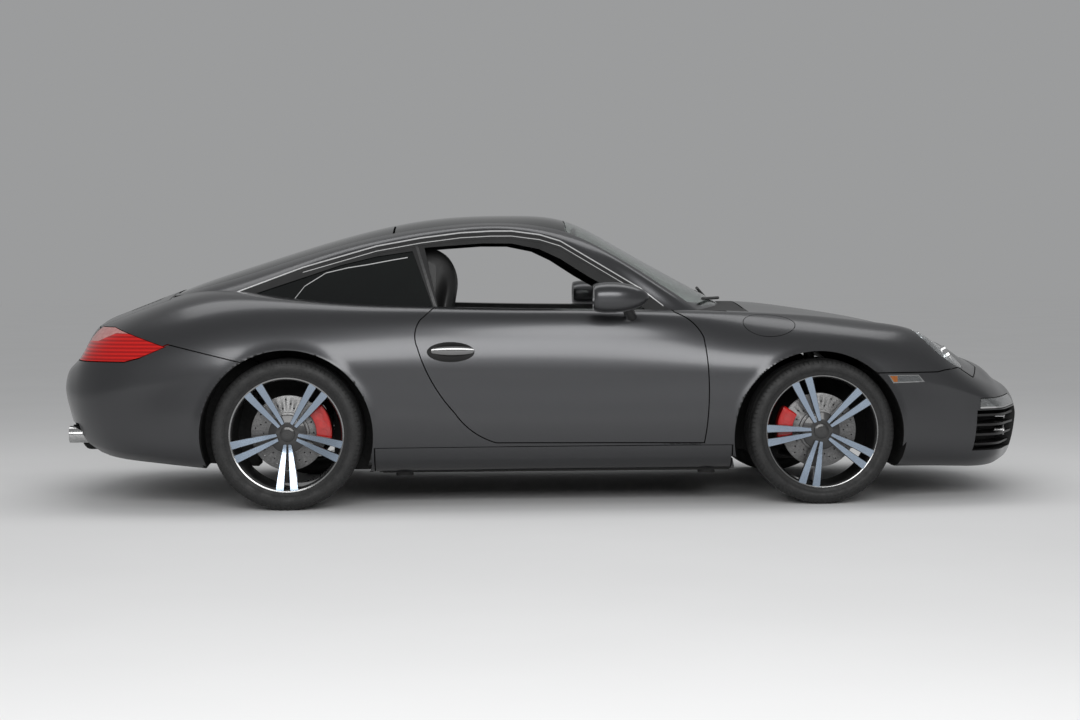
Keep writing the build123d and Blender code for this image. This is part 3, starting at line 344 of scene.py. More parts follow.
class Value:
    """A shader socket that takes part in sums like a number."""

    def __init__(self, graph, socket):
        self.graph, self.socket = graph, socket

    def math(self, operation, *others):
        return self.graph.node("ShaderNodeMath", {"operation": operation}, dict(enumerate((self,) + others)))

    def __add__(self, other):
        return self.math("ADD", other)

    __radd__ = __add__

    def __sub__(self, other):
        return self.math("SUBTRACT", other)

    def __rsub__(self, other):
        return self.graph.node("ShaderNodeMath", {"operation": "SUBTRACT"}, {0: other, 1: self})

    def __mul__(self, other):
        return self.math("MULTIPLY", other)

    __rmul__ = __mul__

    def __truediv__(self, other):
        return self.math("DIVIDE", other)

    def __rtruediv__(self, other):
        return self.graph.node("ShaderNodeMath", {"operation": "DIVIDE"}, {0: other, 1: self})

    def ramp(self, low, high, start=0.0, end=1.0):
        """The value brought smoothly from one range to another."""
        inputs = {"Value": self, "From Min": low, "From Max": high, "To Min": start, "To Max": end}
        return self.graph.node("ShaderNodeMapRange", {"interpolation_type": "SMOOTHSTEP"}, inputs)

    def blend(self, first, second):
        """A colour between two, by this value."""
        settings = {"data_type": "RGBA", "clamp_factor": True}
        inputs = {0: self, 6: colour(first), 7: colour(second)}
        return self.graph.node("ShaderNodeMix", settings, inputs, output=2)


class Graph:
    """A node tree whose last shader takes constants and values by the names of its sockets."""

    def __init__(self, owner, shader):
        owner.use_nodes = True
        self.tree = owner.node_tree
        self.shader = self.tree.nodes[shader]

    def node(self, kind, settings=None, inputs=None, output=0):
        node = self.tree.nodes.new(kind)
        for key, value in (settings or {}).items():
            setattr(node, key, value)
        for key, value in (inputs or {}).items():
            self.feed(node.inputs[key], value)
        return Value(self, node.outputs[output])

    def feed(self, socket, value):
        if isinstance(value, Value):
            self.tree.links.new(value.socket, socket)
        else:
            socket.default_value = value

    def set(self, name, value):
        self.feed(self.shader.inputs[name], value)


class Finish(Graph):
    """A material whose principled shader is set by name."""

    def __init__(self, name, **constants):
        self.material = bpy.data.materials.new(name)
        super().__init__(self.material, "Principled BSDF")
        for key, value in constants.items():
            self.set(key.replace("_", " "), value)

    def place(self):
        return self.node("ShaderNodeTexCoord", output=3)

    def noise(self, scale, detail=2.0, rough=0.5, vector=None):
        inputs = {"Vector": vector or self.place(), "Scale": scale, "Detail": detail, "Roughness": rough}
        return self.node("ShaderNodeTexNoise", None, inputs)

    def bump(self, height, distance, strength=1.0):
        inputs = {"Height": height, "Distance": distance, "Strength": strength}
        self.set("Normal", self.node("ShaderNodeBump", None, inputs))


def mottled(name, scale, first, second, detail=2.0, edges=(0.3, 0.7), **constants):
    """A finish whose base colour drifts between two tones in soft spots."""
    finish = Finish(name, **constants)
    finish.set("Base Color", finish.noise(scale, detail).ramp(*edges).blend(first, second))
    return finish


# The paint is a dark grey metallic under a clear coat, with flakes that only show close by.
FLAKES, FLAKE_EDGES = 2600.0, (0.35, 0.65)
paint = mottled("paint", FLAKES, (0.04656, 0.04752, 0.0504), (0.08428, 0.08514, 0.08944), 1.0, FLAKE_EDGES,
                Metallic=0.85, Roughness=0.32, Coat_Weight=0.6, Coat_Roughness=0.16)
# Cut faces are near black: the real black of the wheel-arch liners, boot and cabin, and painted shade on the walls
# of the panel gaps and in the hollows behind them.
inner_black_and_gap_shade = mottled("inner_black_and_gap_shade", 60.0, 0.006, 0.014, Roughness=0.75)

# Front end.
# The bumper, two fenders and the lid are bolted on with narrow gaps, round wheel arches of one radius.
WELL_R = 0.392
FAR = 1.15
WHOLE_Y = (-FAR, FAR)
UNDER, OVER = -0.1, 2.0
TALL = (UNDER, OVER)
FRONT_WELL_Y, REAR_WELL_Y, WELL_LIP_Y = 0.440, 0.596, 0.845
BUMPER_SIDE = metres([
    (1430, -50), (1430, 577), (1718, 577), (1752, 584), (1832, 592), (1905, 545), (1985, 578), (1985, 700),
    (2300, 700), (2300, -50),
])
LID_HALF = metres([
    (1985, 0), (1975, -180), (1930, -330), (1850, -415), (1700, -472), (1300, -566), (1000, -628), (912, -634),
    (905, 0),
])
COWL_HALF = metres([(900, 0), (900, -630), (668, -690), (668, 0)])
DOOR_FRONT_ARCS = [(560, 846), (640, 796), (678, 740), (697, 560), (677, 280)]
DOOR_REAR_ARCS = [(-235, 288), (-318, 326), (-414, 420), (-512, 556), (-575, 707), (-584, 772), (-563, 823)]
DOOR_TOP = [(-0.47, 0.905), (0.5, 0.905)]
DOOR_OUTLINE = DOOR_TOP[1:] + arc_chain(DOOR_FRONT_ARCS) + arc_chain(DOOR_REAR_ARCS) + DOOR_TOP[:1]


def both_sides(points, low, high):
    """A side outline drawn out over the right side and over the left."""
    return [prism(points, "y", -high, -low), prism(points, "y", low, high)]


OVAL_COUNT, OVAL_OUT = 72, 0.4


def aimed(centre, aim, radii, depth, side=1):
    """An oval cutter along a slanted aim, on the right side, or on the left where side is -1."""
    aim = Vector(aim).normalized()
    long = (aim * aim.z - Vector((0, 0, 1))).normalized() if abs(aim.x) > 0.3 else Vector((1, 0, 0))
    short = aim.cross(long)
    corners = []
    for reach in (-depth, OVAL_OUT):
        for a, b in ring_points((0, 0), 1.0, OVAL_COUNT):
            p = Vector(centre) + aim * reach + long * (a * radii[0]) + short * (b * radii[1])
            corners.append((p.x, p.y * side, p.z))
    return mesh_of("cutter", corners, caps(2, OVAL_COUNT) + hoops(2, OVAL_COUNT))


HEADLAMP = ((1.752, -0.652, 0.690), (0.60, -0.22, 0.77), (0.150, 0.108))
FLAP = ((0.977, -0.772, 0.789), (0.0, -0.60, 0.80), (0.114, 0.074))
FLAP_THICK = 0.004
SEAM = 0.003
CORNER_LAMP = metres([(2300, -440), (2118, -440), (1905, -735), (1960, -900), (2300, -900)])
CORNER_LAMP_Z = (0.412, 0.456)
INTAKE = metres([(2300, -440), (2075, -440), (1865, -700), (1960, -900), (2300, -900)])
INTAKE_Z = (0.222, 0.404)


def widened(oval, amount):
    """An aimed oval made larger all round."""
    centre, aim, radii = oval
    return centre, aim, (radii[0] + amount, radii[1] + amount)


def flipped(points):
    """A plan outline moved to the left side."""
    return [(x, -y) for x, y in points]


def well_rooms(arch, inner_y):
    """The room of both wheels of an axle: the arch as far as the skin, and a wider well behind its lip."""
    return (both_sides(ring_points(arch, ARCH_R), inner_y, FAR)
            + both_sides(ring_points(arch, WELL_R), inner_y, WELL_LIP_Y))


wells = well_rooms(FRONT_ARCH, FRONT_WELL_Y)
DOOR_CUT_Y = 0.05
door_rooms = both_sides(grown(DOOR_OUTLINE, GAP), DOOR_CUT_Y, FAR)
lid_room = prism(grown(mirrored(LID_HALF), GAP), "z", *TALL)
bumper_room = prism(grown(BUMPER_SIDE, GAP), "y", *WHOLE_Y)
cowl_room = prism(grown(mirrored(COWL_HALF), SEAM), "z", *TALL)
# each room as its limits in x, y and z
CABIN = (-0.755, 0.80), (-0.70, 0.70), TALL
REAR_CABIN = (-0.92, -0.754), (-0.57, 0.57), TALL
SKIRT_ROOM = (-0.770, 0.806), WHOLE_Y, (UNDER, 0.269)
TUB_Y = (-0.439, 0.439)
TUB, TUB_FRONT = ((0.797, 1.740), TUB_Y, TALL), ((1.735, 1.903), TUB_Y, (UNDER, 0.590))
cabin_room, rear_cabin, skirt_room = slab(*CABIN), slab(*REAR_CABIN), slab(*SKIRT_ROOM)
tub_rooms = [slab(*TUB), slab(*TUB_FRONT)]
HEADLAMP_ROOM_DEPTH, FLAP_ROOM_DEPTH = 0.113, 0.06
headlamp_rooms = [aimed(*widened(HEADLAMP, SEAM), HEADLAMP_ROOM_DEPTH, side) for side in (1, -1)]
flap_room = aimed(*widened(FLAP, SEAM), FLAP_ROOM_DEPTH)
corner_rooms = []
for outline in (CORNER_LAMP, flipped(CORNER_LAMP)):
    corner_rooms.append(prism(grown(outline, SEAM), "z", CORNER_LAMP_Z[0] - SEAM, CORNER_LAMP_Z[1] + SEAM))
for outline in (INTAKE, flipped(INTAKE)):
    corner_rooms.append(prism(outline, "z", *INTAKE_Z))
CENTRE_INTAKE = (2.120, 2.300), (-0.360, 0.360), (0.205, 0.285)
centre_intake = slab(*CENTRE_INTAKE)


# By default the cut faces of a panel take the near-black finish: painted shade in the panel gaps, real black in the
# wells and insides.
def panel(name, node, carrier, keep, take, outside=paint, inside=inner_black_and_gap_shade, source=body_mesh, skin=body_skin):
    """A piece cut from a master surface, with the master's normals, standing for its CAD node if it has one."""
    item = skin.dress(carve(name, source, keep, take), outside.material, inside.material)
    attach(item, carrier)
    if node:
        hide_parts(node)
    return item


LID_WALL = 0.024
SHELL_ROWS = 260
shell_grid = section_grid(BODY_STATIONS, 6, True, BODY_SAMPLES, SHELL_ROWS)
lid_inner = closed_skin("body_lid_inner", sunk(shell_grid, LID_WALL))
FENDER_X, LID_Z, COWL_Z = (0.5, 2.3), (0.40, OVER), (0.80, 1.0)
panel("fenders", "front_fenders", "car", [slab(FENDER_X, WHOLE_Y, TALL)],
      wells + door_rooms + headlamp_rooms + tub_rooms
      + [lid_room, bumper_room, cowl_room, cabin_room, skirt_room, flap_room])
panel("bumper_front", "front_bumper", "car", [prism(BUMPER_SIDE, "y", *WHOLE_Y)],
      wells + headlamp_rooms + corner_rooms + tub_rooms + [lid_room, centre_intake])
panel("lid_front", "front_lid", "front_lid", [prism(mirrored(LID_HALF), "z", *LID_Z)], [lid_inner.copy()])
panel("flap_fuel", "filler_flap", "filler_flap", [aimed(*FLAP, FLAP_THICK)], [])
cowl_finish = mottled("cowl_plastic", 90.0, 0.010, 0.022, Roughness=0.6)
panel("cowl_panel", "cowl", "car", [prism(mirrored(COWL_HALF), "z", *COWL_Z)], [], cowl_finish, cowl_finish)

# Doors.
# Each door is one curved panel with a card inside, an oval recess and a pull handle across it.
DOOR_INNER_Y = 0.705
HANDLE = ((-0.424, -0.905, 0.690), (0.128, 0.058, 0.056))
GRIP = ((-0.424, -0.861, 0.690), (0.112, 0.0085, 0.021))
card_finish = mottled("door_card", 400.0, 0.012, 0.020, Roughness=0.6)


def ellipsoid(centre, radii, side=1, rows=24, count=48):
    """A closed rounded form with three radii."""
    points = []
    for r in range(rows + 1):
        lat = math.pi * r / rows - math.pi / 2
        for c in range(count):
            lon = 2 * math.pi * c / count
            points.append((centre[0] + radii[0] * math.cos(lat) * math.cos(lon),
                           side * (centre[1] + radii[1] * math.cos(lat) * math.sin(lon)),
                           centre[2] + radii[2] * math.sin(lat)))
    return mesh_of("ellipsoid", points, hoops(rows + 1, count))


def coated(item, finish, carrier, node=None, angle=30.0):
    """Gives a piece one finish, smooth shading with kept edges, and its place among the bodies."""
    item.data.materials.clear()
    item.data.materials.append(finish.material)
    for face in item.data.polygons:
        face.use_smooth = True
        face.material_index = 0
    item.data.set_sharp_from_angle(angle=math.radians(angle))
    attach(item, carrier)
    if node:
        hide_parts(node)
    return item


def finished(name, mesh, finish, carrier, node=None, angle=35.0):
    """A new piece with one finish."""
    return coated(thing(name, mesh), finish, carrier, node, angle)


def span(side, near, far):
    """A stretch across the car, on the right side, or on the left where side is -1."""
    return (-far, -near) if side == 1 else (near, far)


handle_finish = mottled("handle", 2600.0, 0.18, 0.26, 1.0, edges=(0.35, 0.65),
                        Metallic=0.9, Roughness=0.16, Coat_Weight=1.0)
SIDES = ((1, "right"), (-1, "left"))
for side, where in SIDES:
    body = f"door_{where}"
    panel(body, f"door_panel_{where}", body, [prism(DOOR_OUTLINE, "y", *span(side, DOOR_INNER_Y, FAR))],
          [ellipsoid(*HANDLE, side)], inside=card_finish)
    finished(f"handle_{where}", ellipsoid(*GRIP, side), handle_finish, body)

# Rear end.
# The quarter panels run from the doors over the rear wheels; the bumper wraps round under the tail lamps.
REAR_BUMPER_SIDE = metres([
    (-1300, -50), (-1300, 636), (-1661, 724), (-1690, 712), (-1785, 665), (-1852, 648), (-1985, 648), (-2300, 648),
    (-2300, -50),
])
ENGINE_LID_HALF = metres([(-1705, 0), (-1705, -505), (-1940, -500), (-2015, -488), (-2042, -300), (-2046, 0)])
TAIL_LAMP = metres([(-1920, 797), (-1676, 715), (-1785, 670), (-1852, 653), (-2120, 653), (-2120, 797)])
TAIL_LAMP_Y = (0.520, 0.900)
rear_wells = well_rooms(REAR_ARCH, REAR_WELL_Y)
rear_bumper_room = prism(grown(REAR_BUMPER_SIDE, GAP), "y", *WHOLE_Y)
UPPER_BUMPER = ((-2.300, -2.015), (-0.512, 0.512), (0.640, 0.860))
UPPER_ROOM = (-2.300, -2.010), (-0.517, 0.517), (0.635, 0.90)
upper_room = slab(*UPPER_ROOM)
engine_room = prism(grown(mirrored(ENGINE_LID_HALF), GAP), "z", *TALL)
lamp_rooms = both_sides(grown(TAIL_LAMP, SEAM), TAIL_LAMP_Y[0] - SEAM, TAIL_LAMP_Y[1])
BAY_Y = (-0.430, 0.430)
BAY, BAY_TOP = ((-2.000, -0.960), BAY_Y, (UNDER, 0.672)), ((-2.000, -1.720), BAY_Y, (0.660, OVER))
ARM_ROOM = [(-1.330, UNDER), (-0.960, UNDER), (-0.960, 0.470), (-1.330, 0.470)]
ARM_ROOM_Y = (0.429, 0.600)
LOAD_ROOM = (-1.6943, -0.915), (-0.462, 0.462), (0.700, OVER)
EXHAUST_X, EXHAUST_Z = (-2.3, -1.9597), (UNDER, 0.372)
EXHAUST_Y = (-0.650, -0.445), (0.445, 0.650)
QUARTER_X = (-2.3, -0.19)
bays = [slab(*BAY), slab(*BAY_TOP)]
arm_rooms = both_sides(ARM_ROOM, *ARM_ROOM_Y)
exhaust_rooms = [slab(EXHAUST_X, y, EXHAUST_Z) for y in EXHAUST_Y]
load_room = slab(*LOAD_ROOM)
panel("quarters", "quarter_panels", "car", [slab(QUARTER_X, WHOLE_Y, TALL)],
      rear_wells + door_rooms + lamp_rooms + bays + arm_rooms
      + [rear_bumper_room, upper_room, engine_room, cabin_room, rear_cabin, load_room, skirt_room])
panel("bumper_rear", "rear_bumper", "car", [prism(REAR_BUMPER_SIDE, "y", *WHOLE_Y)],
      rear_wells + lamp_rooms + bays + exhaust_rooms + [engine_room])
panel("bumper_rear_top", None, "car", [slab(*UPPER_BUMPER)],
      bays + [engine_room, prism(REAR_BUMPER_SIDE, "y", *WHOLE_Y)])
SLOTS, SLOT_W, SLOT_PITCH, SLOT_FIRST_X, SLOT_Y = 8, 0.008, 0.018, -1.770, (-0.330, 0.330)
ENGINE_LID_Z = (0.70, OVER)
slot_edges = [SLOT_FIRST_X - i * SLOT_PITCH for i in range(SLOTS)]
slots = [slab((x - SLOT_W, x), SLOT_Y, TALL) for x in slot_edges]
panel("lid_engine", "engine_lid", "engine_lid", [prism(mirrored(ENGINE_LID_HALF), "z", *ENGINE_LID_Z)],
      slots + [lid_inner.copy()])
SKIRT = (-0.764, 0.800), WHOLE_Y, (0.0, 0.266)
BETWEEN_SKIRTS = (-0.77, 0.81), (-0.770, 0.770), (UNDER, 0.4)
panel("skirts", "side_skirts", "car", [slab(*SKIRT)], [slab(*BETWEEN_SKIRTS)])

SILL_STRIP = [(-0.190, 0.2695), (0.664, 0.2695), (0.664, 0.300), (-0.190, 0.300)]
SILL_INNER_Y = 0.70
for name, strip in zip(("sill_strips", "sill_strips_left"), both_sides(SILL_STRIP, SILL_INNER_Y, FAR)):
    panel(name, None, "car", [strip], [room.copy() for room in door_rooms])

# Glasshouse.
# A welded frame of pillars and rails carries the windscreen, the sliding roof glass and the rear hatch glass.
ROOF_STATIONS = [
    (-1950, 500, 690, 450, 780, 380, 806, 205, 822, 828),
    (-1700, 620, 790, 545, 882, 460, 918, 248, 944, 954),
    (-1400, 700, 800, 603, 953, 512, 1004, 276, 1046, 1059),
    (-1000, 752, 790, 614, 1088, 532, 1130, 290, 1170, 1183),
    (-500, 778, 780, 606, 1198, 530, 1234, 290, 1276, 1289),
    (-150, 780, 780, 602, 1216, 526, 1250, 290, 1290, 1303),
    (100, 778, 780, 612, 1154, 540, 1204, 300, 1260, 1277),
    (300, 772, 770, 636, 1034, 590, 1100, 335, 1162, 1180),
    (500, 765, 750, 672, 878, 628, 970, 365, 1044, 1066),
    (700, 710, 690, 650, 790, 590, 846, 335, 934, 957),
    (850, 600, 640, 550, 710, 470, 756, 275, 842, 872),
    (950, 500, 600, 450, 655, 380, 694, 215, 772, 800),
]
TOP_GLASS_HALF = metres([
    (838, 0), (800, -300), (715, -500), (628, -603), (500, -606), (300, -570), (96, -524), (-300, -512),
    (-690, -512), (-1000, -510), (-1400, -482), (-1560, -455), (-1660, -400), (-1690, -300), (-1694, 0),
])
DOOR_WINDOW = metres([
    (-548, 1143), (-441, 1151), (-291, 1161), (-159, 1160), (-34, 1134),
    (59, 1090), (185, 1009), (374, 901), (430, 868), (430, 700), (-400, 700), (-486, 868),
])
QUARTER_WINDOW = metres([
    (-600, 1128), (-761, 1105), (-925, 1066), (-1090, 1012), (-1250, 960),
    (-1352, 926), (-1250, 700), (-440, 700), (-506, 868),
])
FRAME_DEPTH, GLASS_SINK, GLASS = 0.042, 0.003, 0.005
ROOF_SAMPLES, ROOF_ROWS = (26, 12, 18, 24), 300
roof_grid = section_grid(ROOF_STATIONS, 4, False, ROOF_SAMPLES, ROOF_ROWS)


def hollow_skin(name, grid, sink, depth):
    """A closed sheet of one thickness that follows half sections and their mirror image, open below."""
    outer, inner = sunk(grid, sink), sunk(grid, sink + depth)
    flip = (1, -1, 1)
    ring = np.concatenate([outer, outer[:, -2::-1] * flip, inner[:, :-1] * flip, inner[:, ::-1]], axis=1)
    rows, wide = ring.shape[:2]
    faces = hoops(rows, wide)
    half = wide // 2
    for r in (0, rows - 1):
        for c in range(half - 1):
            faces.append((r * wide + c, r * wide + c + 1, r * wide + wide - 2 - c, r * wide + wide - 1 - c))
    return mesh_of(name, ring.reshape(-1, 3), faces)


frame_mesh = hollow_skin("frame_master", roof_grid, 0.0, FRAME_DEPTH)
glass_mesh = hollow_skin("glass_master", roof_grid, GLASS_SINK, GLASS)
frame_skin, glass_skin = Skin(frame_mesh), Skin(glass_mesh)
WINDOW_Y, GLASS_Z, FRAME_X = (0.3, FAR), (0.5, OVER), (-1.95, 0.95)
window_rooms = both_sides(DOOR_WINDOW, *WINDOW_Y) + both_sides(QUARTER_WINDOW, *WINDOW_Y)
top_room = prism(grown(mirrored(TOP_GLASS_HALF), SEAM), "z", *TALL)
panel("frame_roof", "roof_frame", "car", [slab(FRAME_X, WHOLE_Y, GLASS_Z)],
      window_rooms + [top_room, body_mesh.copy()], source=frame_mesh, skin=frame_skin)
CLEAR_TINT = (0.82, 0.88, 0.85, 1.0)
clear = Finish("clear_glass", Base_Color=CLEAR_TINT, Roughness=0.02, IOR=1.45, Transmission_Weight=1.0)
tinted = mottled("tinted_glass", 3.0, (0.006, 0.008, 0.008), (0.010, 0.013, 0.012),
                 Roughness=0.03, IOR=1.45, Transmission_Weight=0.6)
top_outline = prism(mirrored(TOP_GLASS_HALF), "z", *TALL)
for name, node, carrier, reach, finish in (
    ("screen_front", "windscreen", "car", (0.094, 0.95), clear),
    ("roof_pane", "roof_glass", "car", (-0.684, 0.088), tinted),
    ("hatch_pane", "rear_hatch_glass", "rear_hatch", (-1.95, -0.694), tinted),
):
    panel(name, node, carrier, [top_outline.copy(), slab(reach, WHOLE_Y, GLASS_Z)], [], finish, finish,
          glass_mesh, glass_skin)
for name, node, pane in zip(("panes_quarter", "panes_quarter_left"), ("quarter_glass", None),
                            both_sides(QUARTER_WINDOW, *WINDOW_Y)):
    panel(name, node, "car", [pane], [body_mesh.copy()], tinted, tinted, glass_mesh, glass_skin)

# Wheels.
# Low-profile tyres sit on rims with five twin spokes, whose outer faces are turned bright while the rest is
# dark. Red calipers grip drilled discs behind the spokes.
# axle x and y, tyre radius and width, hub depth, first twin spoke and caliper in degrees
WHEELS = {
    "front": (FRONT_AXLE, 0.744, 0.3215, 0.235, 0.034, -104, 172),
    "rear": (REAR_AXLE, 0.766, 0.3305, 0.296, 0.060, -90, 14),
}
BEAD_R, LIP_R, BARREL_R = 0.244, 0.259, 0.236
RIM_SHARE = 0.46
HUB_PAD_R, HUB_PAD_DEPTH, CAP_R = 0.084, 0.034, 0.033
LUG_R, LUG_INNER_R, LUG_OUTER_R = 0.065, 0.0108, 0.0150


def turned(profile, count=160):
    """Points and faces of a closed profile of radius and depth turned about the wheel's axis."""
    points = []
    for i in range(count):
        t = 2 * math.pi * i / count
        points += [(r * math.cos(t), y, r * math.sin(t)) for r, y in profile]
    return points, hoops(count, len(profile), True)


def placed(points, centre, side):
    """Points round a centre, with outboard as negative depth, brought to one side of the car."""
    return [(x + centre[0], side * (y - centre[1]), z + centre[2]) for x, y, z in points]


def rounded(corners, radius, count=4):
    """A profile with its corners rounded."""
    p = [Vector(c) for c in corners]
    line = []
    for i, here in enumerate(p):
        before, after = p[i - 1] - here, p[(i + 1) % len(p)] - here
        reach = min(radius, before.length * 0.45, after.length * 0.45)
        start, end = here + before.normalized() * reach, here + after.normalized() * reach
        for k in range(count + 1):
            u = k / count
            line.append(tuple(start * (1 - u) ** 2 + here * 2 * u * (1 - u) + end * u**2))
    return line


def joined(groups):
    """Points and faces of several pieces put into one list each."""
    points, faces = [], []
    for some_points, some_faces in groups:
        start = len(points)
        points += list(some_points)
        faces += [tuple(i + start for i in face) for face in some_faces]
    return points, faces


def tyre_profile(radius, half):
    """One tyre section: bead, bulging side, shoulder and a tread with three round grooves, back to the bead."""
    side = [(BEAD_R, half * 0.86), (BEAD_R + 0.012, half * 0.925), (BEAD_R + 0.019, half * 0.93),
            (BEAD_R + 0.023, half * 0.955), (radius - 0.046, half), (radius - 0.034, half * 0.997),
            (radius - 0.022, half * 0.975), (radius - 0.011, half * 0.93), (radius - 0.0045, half * 0.87)]
    tread = []
    groove, depth = 0.0045, 0.0068
    for centre in (half * 0.60, half * 0.20, -half * 0.20, -half * 0.60):
        crown = radius - 0.004 * (centre / half) ** 2
        tread += [(crown, centre + groove), (crown - depth, centre + groove * 0.6),
                  (crown - depth, centre - groove * 0.6), (crown, centre - groove)]
    return side + tread + [(r, -y) for r, y in reversed(side)]


tyre_finish = mottled("tyre_rubber", 140.0, 0.010, 0.020)
tyre_finish.set("Roughness", tyre_finish.noise(24.0).ramp(0.3, 0.7, 0.50, 0.68))
wrap = tyre_finish.node("ShaderNodeUVMap")
zone = tyre_finish.node("ShaderNodeUVMap", {"uv_map": "zone"})
across = tyre_finish.node("ShaderNodeSeparateXYZ", None, {0: wrap})
along = tyre_finish.node("ShaderNodeSeparateXYZ", None, {0: wrap}, output=1)
is_tread = tyre_finish.node("ShaderNodeSeparateXYZ", None, {0: zone})
sway = (along * 26.0).math("ABSOLUTE") * 0.35
slits = ((across * 92.0 + sway).math("FRACT") - 0.5).math("ABSOLUTE").ramp(0.40, 0.46)
ribs = ((along * 260.0).math("FRACT") - 0.5).math("ABSOLUTE").ramp(0.30, 0.42)
tyre_finish.bump(slits * is_tread * -1.0 + ribs * (1.0 - is_tread) * 0.06, 0.004)

alloy_face = mottled("alloy_face", 900.0, (0.30, 0.37, 0.47), (0.40, 0.48, 0.58), 3.0,
                     Metallic=1.0, Roughness=0.24, Coat_Weight=0.6)
alloy_dark = mottled("alloy_dark", 700.0, 0.035, 0.060, Metallic=0.7, Roughness=0.34, Coat_Weight=0.7)
alloy_lip = mottled("alloy_lip", 500.0, 0.30, 0.40, Metallic=1.0, Roughness=0.20)
iron = mottled("disc_iron", 300.0, 0.14, 0.24, 4.0, Metallic=0.9, Roughness=0.36)
iron.bump(iron.noise(1200.0), 0.0002)
red = mottled("caliper_red", 40.0, (0.50, 0.006, 0.006), (0.62, 0.012, 0.010),
              Roughness=0.30, Coat_Weight=0.8)

# radius, offset from the middle of the pair, half width of the face and of the root, share of the hub's depth
SPOKE_SECTIONS = [
    (0.046, 0.0105, 0.0062, 0.0095, 1.00),
    (0.075, 0.0138, 0.0084, 0.0110, 0.97),
    (0.110, 0.0180, 0.0104, 0.0128, 0.78),
    (0.150, 0.0226, 0.0124, 0.0146, 0.52),
    (0.190, 0.0268, 0.0142, 0.0164, 0.27),
    (0.222, 0.0298, 0.0156, 0.0180, 0.08),
    (0.243, 0.0315, 0.0166, 0.0198, 0.00),
]
SPOKE_RIM_SINK, SPOKE_THICK, FACE_RAISE = 0.0065, 0.026, 0.0035
SPOKE_PAIRS = 5


def rim_pieces(width, hub, first):
    """The lists of points and faces of a rim, by finish: dark body, bright faces and polished lip."""
    half = width * RIM_SHARE
    dark, bright, lip = [], [], []
    barrel = [(LIP_R - 0.0010, -half + 0.0045), (BEAD_R + 0.004, -half + 0.010), (BEAD_R - 0.0005, -half + 0.012),
              (BEAD_R - 0.0005, half - 0.010), (LIP_R, half - 0.009), (LIP_R, half), (BEAD_R, half),
              (BARREL_R, half - 0.014), (BARREL_R, -half + 0.030), (BARREL_R + 0.005, -half + 0.010),
              (LIP_R - 0.006, -half + 0.0035)]
    dark.append(turned(rounded(barrel, 0.003)))
    lip.append(turned(rounded([(LIP_R, -half), (LIP_R, -half + 0.006), (LIP_R - 0.004, -half + 0.0085),
                               (BARREL_R + 0.008, -half + 0.0100), (BARREL_R + 0.0075, -half + 0.0060),
                               (LIP_R - 0.0050, -half + 0.0030), (LIP_R - 0.0035, -half)], 0.0012, 3)))
    pad = -half + hub
    dark.append(turned(rounded([(0.010, pad - 0.004), (0.052, pad - 0.002), (HUB_PAD_R, pad + 0.006),
                                (HUB_PAD_R, pad + HUB_PAD_DEPTH), (0.010, pad + HUB_PAD_DEPTH)], 0.003), 80))
    for pair in range(SPOKE_PAIRS):
        turn = math.radians(first + pair * 360 / SPOKE_PAIRS)
        radial = Vector((math.cos(turn), 0, math.sin(turn)))
        across = Vector((-math.sin(turn), 0, math.cos(turn)))
        for twin in (-1, 1):
            body_rows, face_rows = [], []
            for radius, offset, face, root, share in SPOKE_SECTIONS:
                y = -half + SPOKE_RIM_SINK + (hub - SPOKE_RIM_SINK - 0.010) * share
                middle = radial * radius + across * (twin * offset)
                thick = SPOKE_THICK - 0.008 * (1 - share)
                low, rim = -FACE_RAISE * 0.4, face + 0.0012
                body = (-rim, 0.0), (rim, 0.0), (root, 0.010), (root, thick), (-root, thick), (-root, 0.010)
                plate = (-face, low), (face, low), (face, 0.001), (-face, 0.001)
                for rows, outline in ((body_rows, body), (face_rows, plate)):
                    rows.append([middle + across * w + Vector((0, y + d, 0)) for w, d in outline])
            for rows, group in ((body_rows, dark), (face_rows, bright)):
                size = len(rows), len(rows[0])
                group.append(([tuple(p) for row in rows for p in row], caps(*size) + hoops(*size)))
        collar = [(LUG_INNER_R, pad - 0.005), (LUG_OUTER_R, pad - 0.005), (LUG_OUTER_R, pad + 0.003),
                  (LUG_INNER_R, pad + 0.003)]
        points, faces = turned(rounded(collar, 0.001, 2), 24)
        spot = radial * LUG_R
        dark.append(([(x + spot.x, y, z + spot.z) for x, y, z in points], faces))
    cap = [(0.0005, pad - 0.014), (0.022, pad - 0.0135), (CAP_R, pad - 0.0105), (CAP_R, pad), (0.0005, pad)]
    dark.append(turned(rounded(cap, 0.002), 64))
    return dark, bright, lip


def drum(centre, radius, low, high, count=32):
    """Points and faces of a short round bar along the wheel's axis."""
    ring = ring_points(centre, radius, count)
    points = [(a, depth, b) for depth in (low, high) for a, b in ring]
    return points, caps(2, count) + hoops(2, count)


def sector(inside, outside, low, high, lead, spread, count=24, soft=0.004):
    """Points and faces of a part of a ring, with rounded edges."""
    rows = []
    for i in range(count + 1):
        t = lead + spread * (2 * i / count - 1)
        shrink = soft if i in (0, count) else 0.0
        near, far = inside + shrink, outside - shrink
        shape = [(near, low + shrink), (far, low + shrink), (far, high - shrink), (near, high - shrink)]
        rows.append([(r * math.cos(t), y, r * math.sin(t)) for r, y in rounded(shape, soft, 3)])
    size = len(rows), len(rows[0])
    return [p for row in rows for p in row], caps(*size) + hoops(*size)


def cut(name, source, keep, take, finish, carrier="car", node=None, angle=30.0):
    """A piece cut from a closed mesh, with one finish."""
    return coated(carve(name, source, keep, take), finish, carrier, node, angle)


TYRE_COUNT, TREAD_DEPTH = 192, 0.013


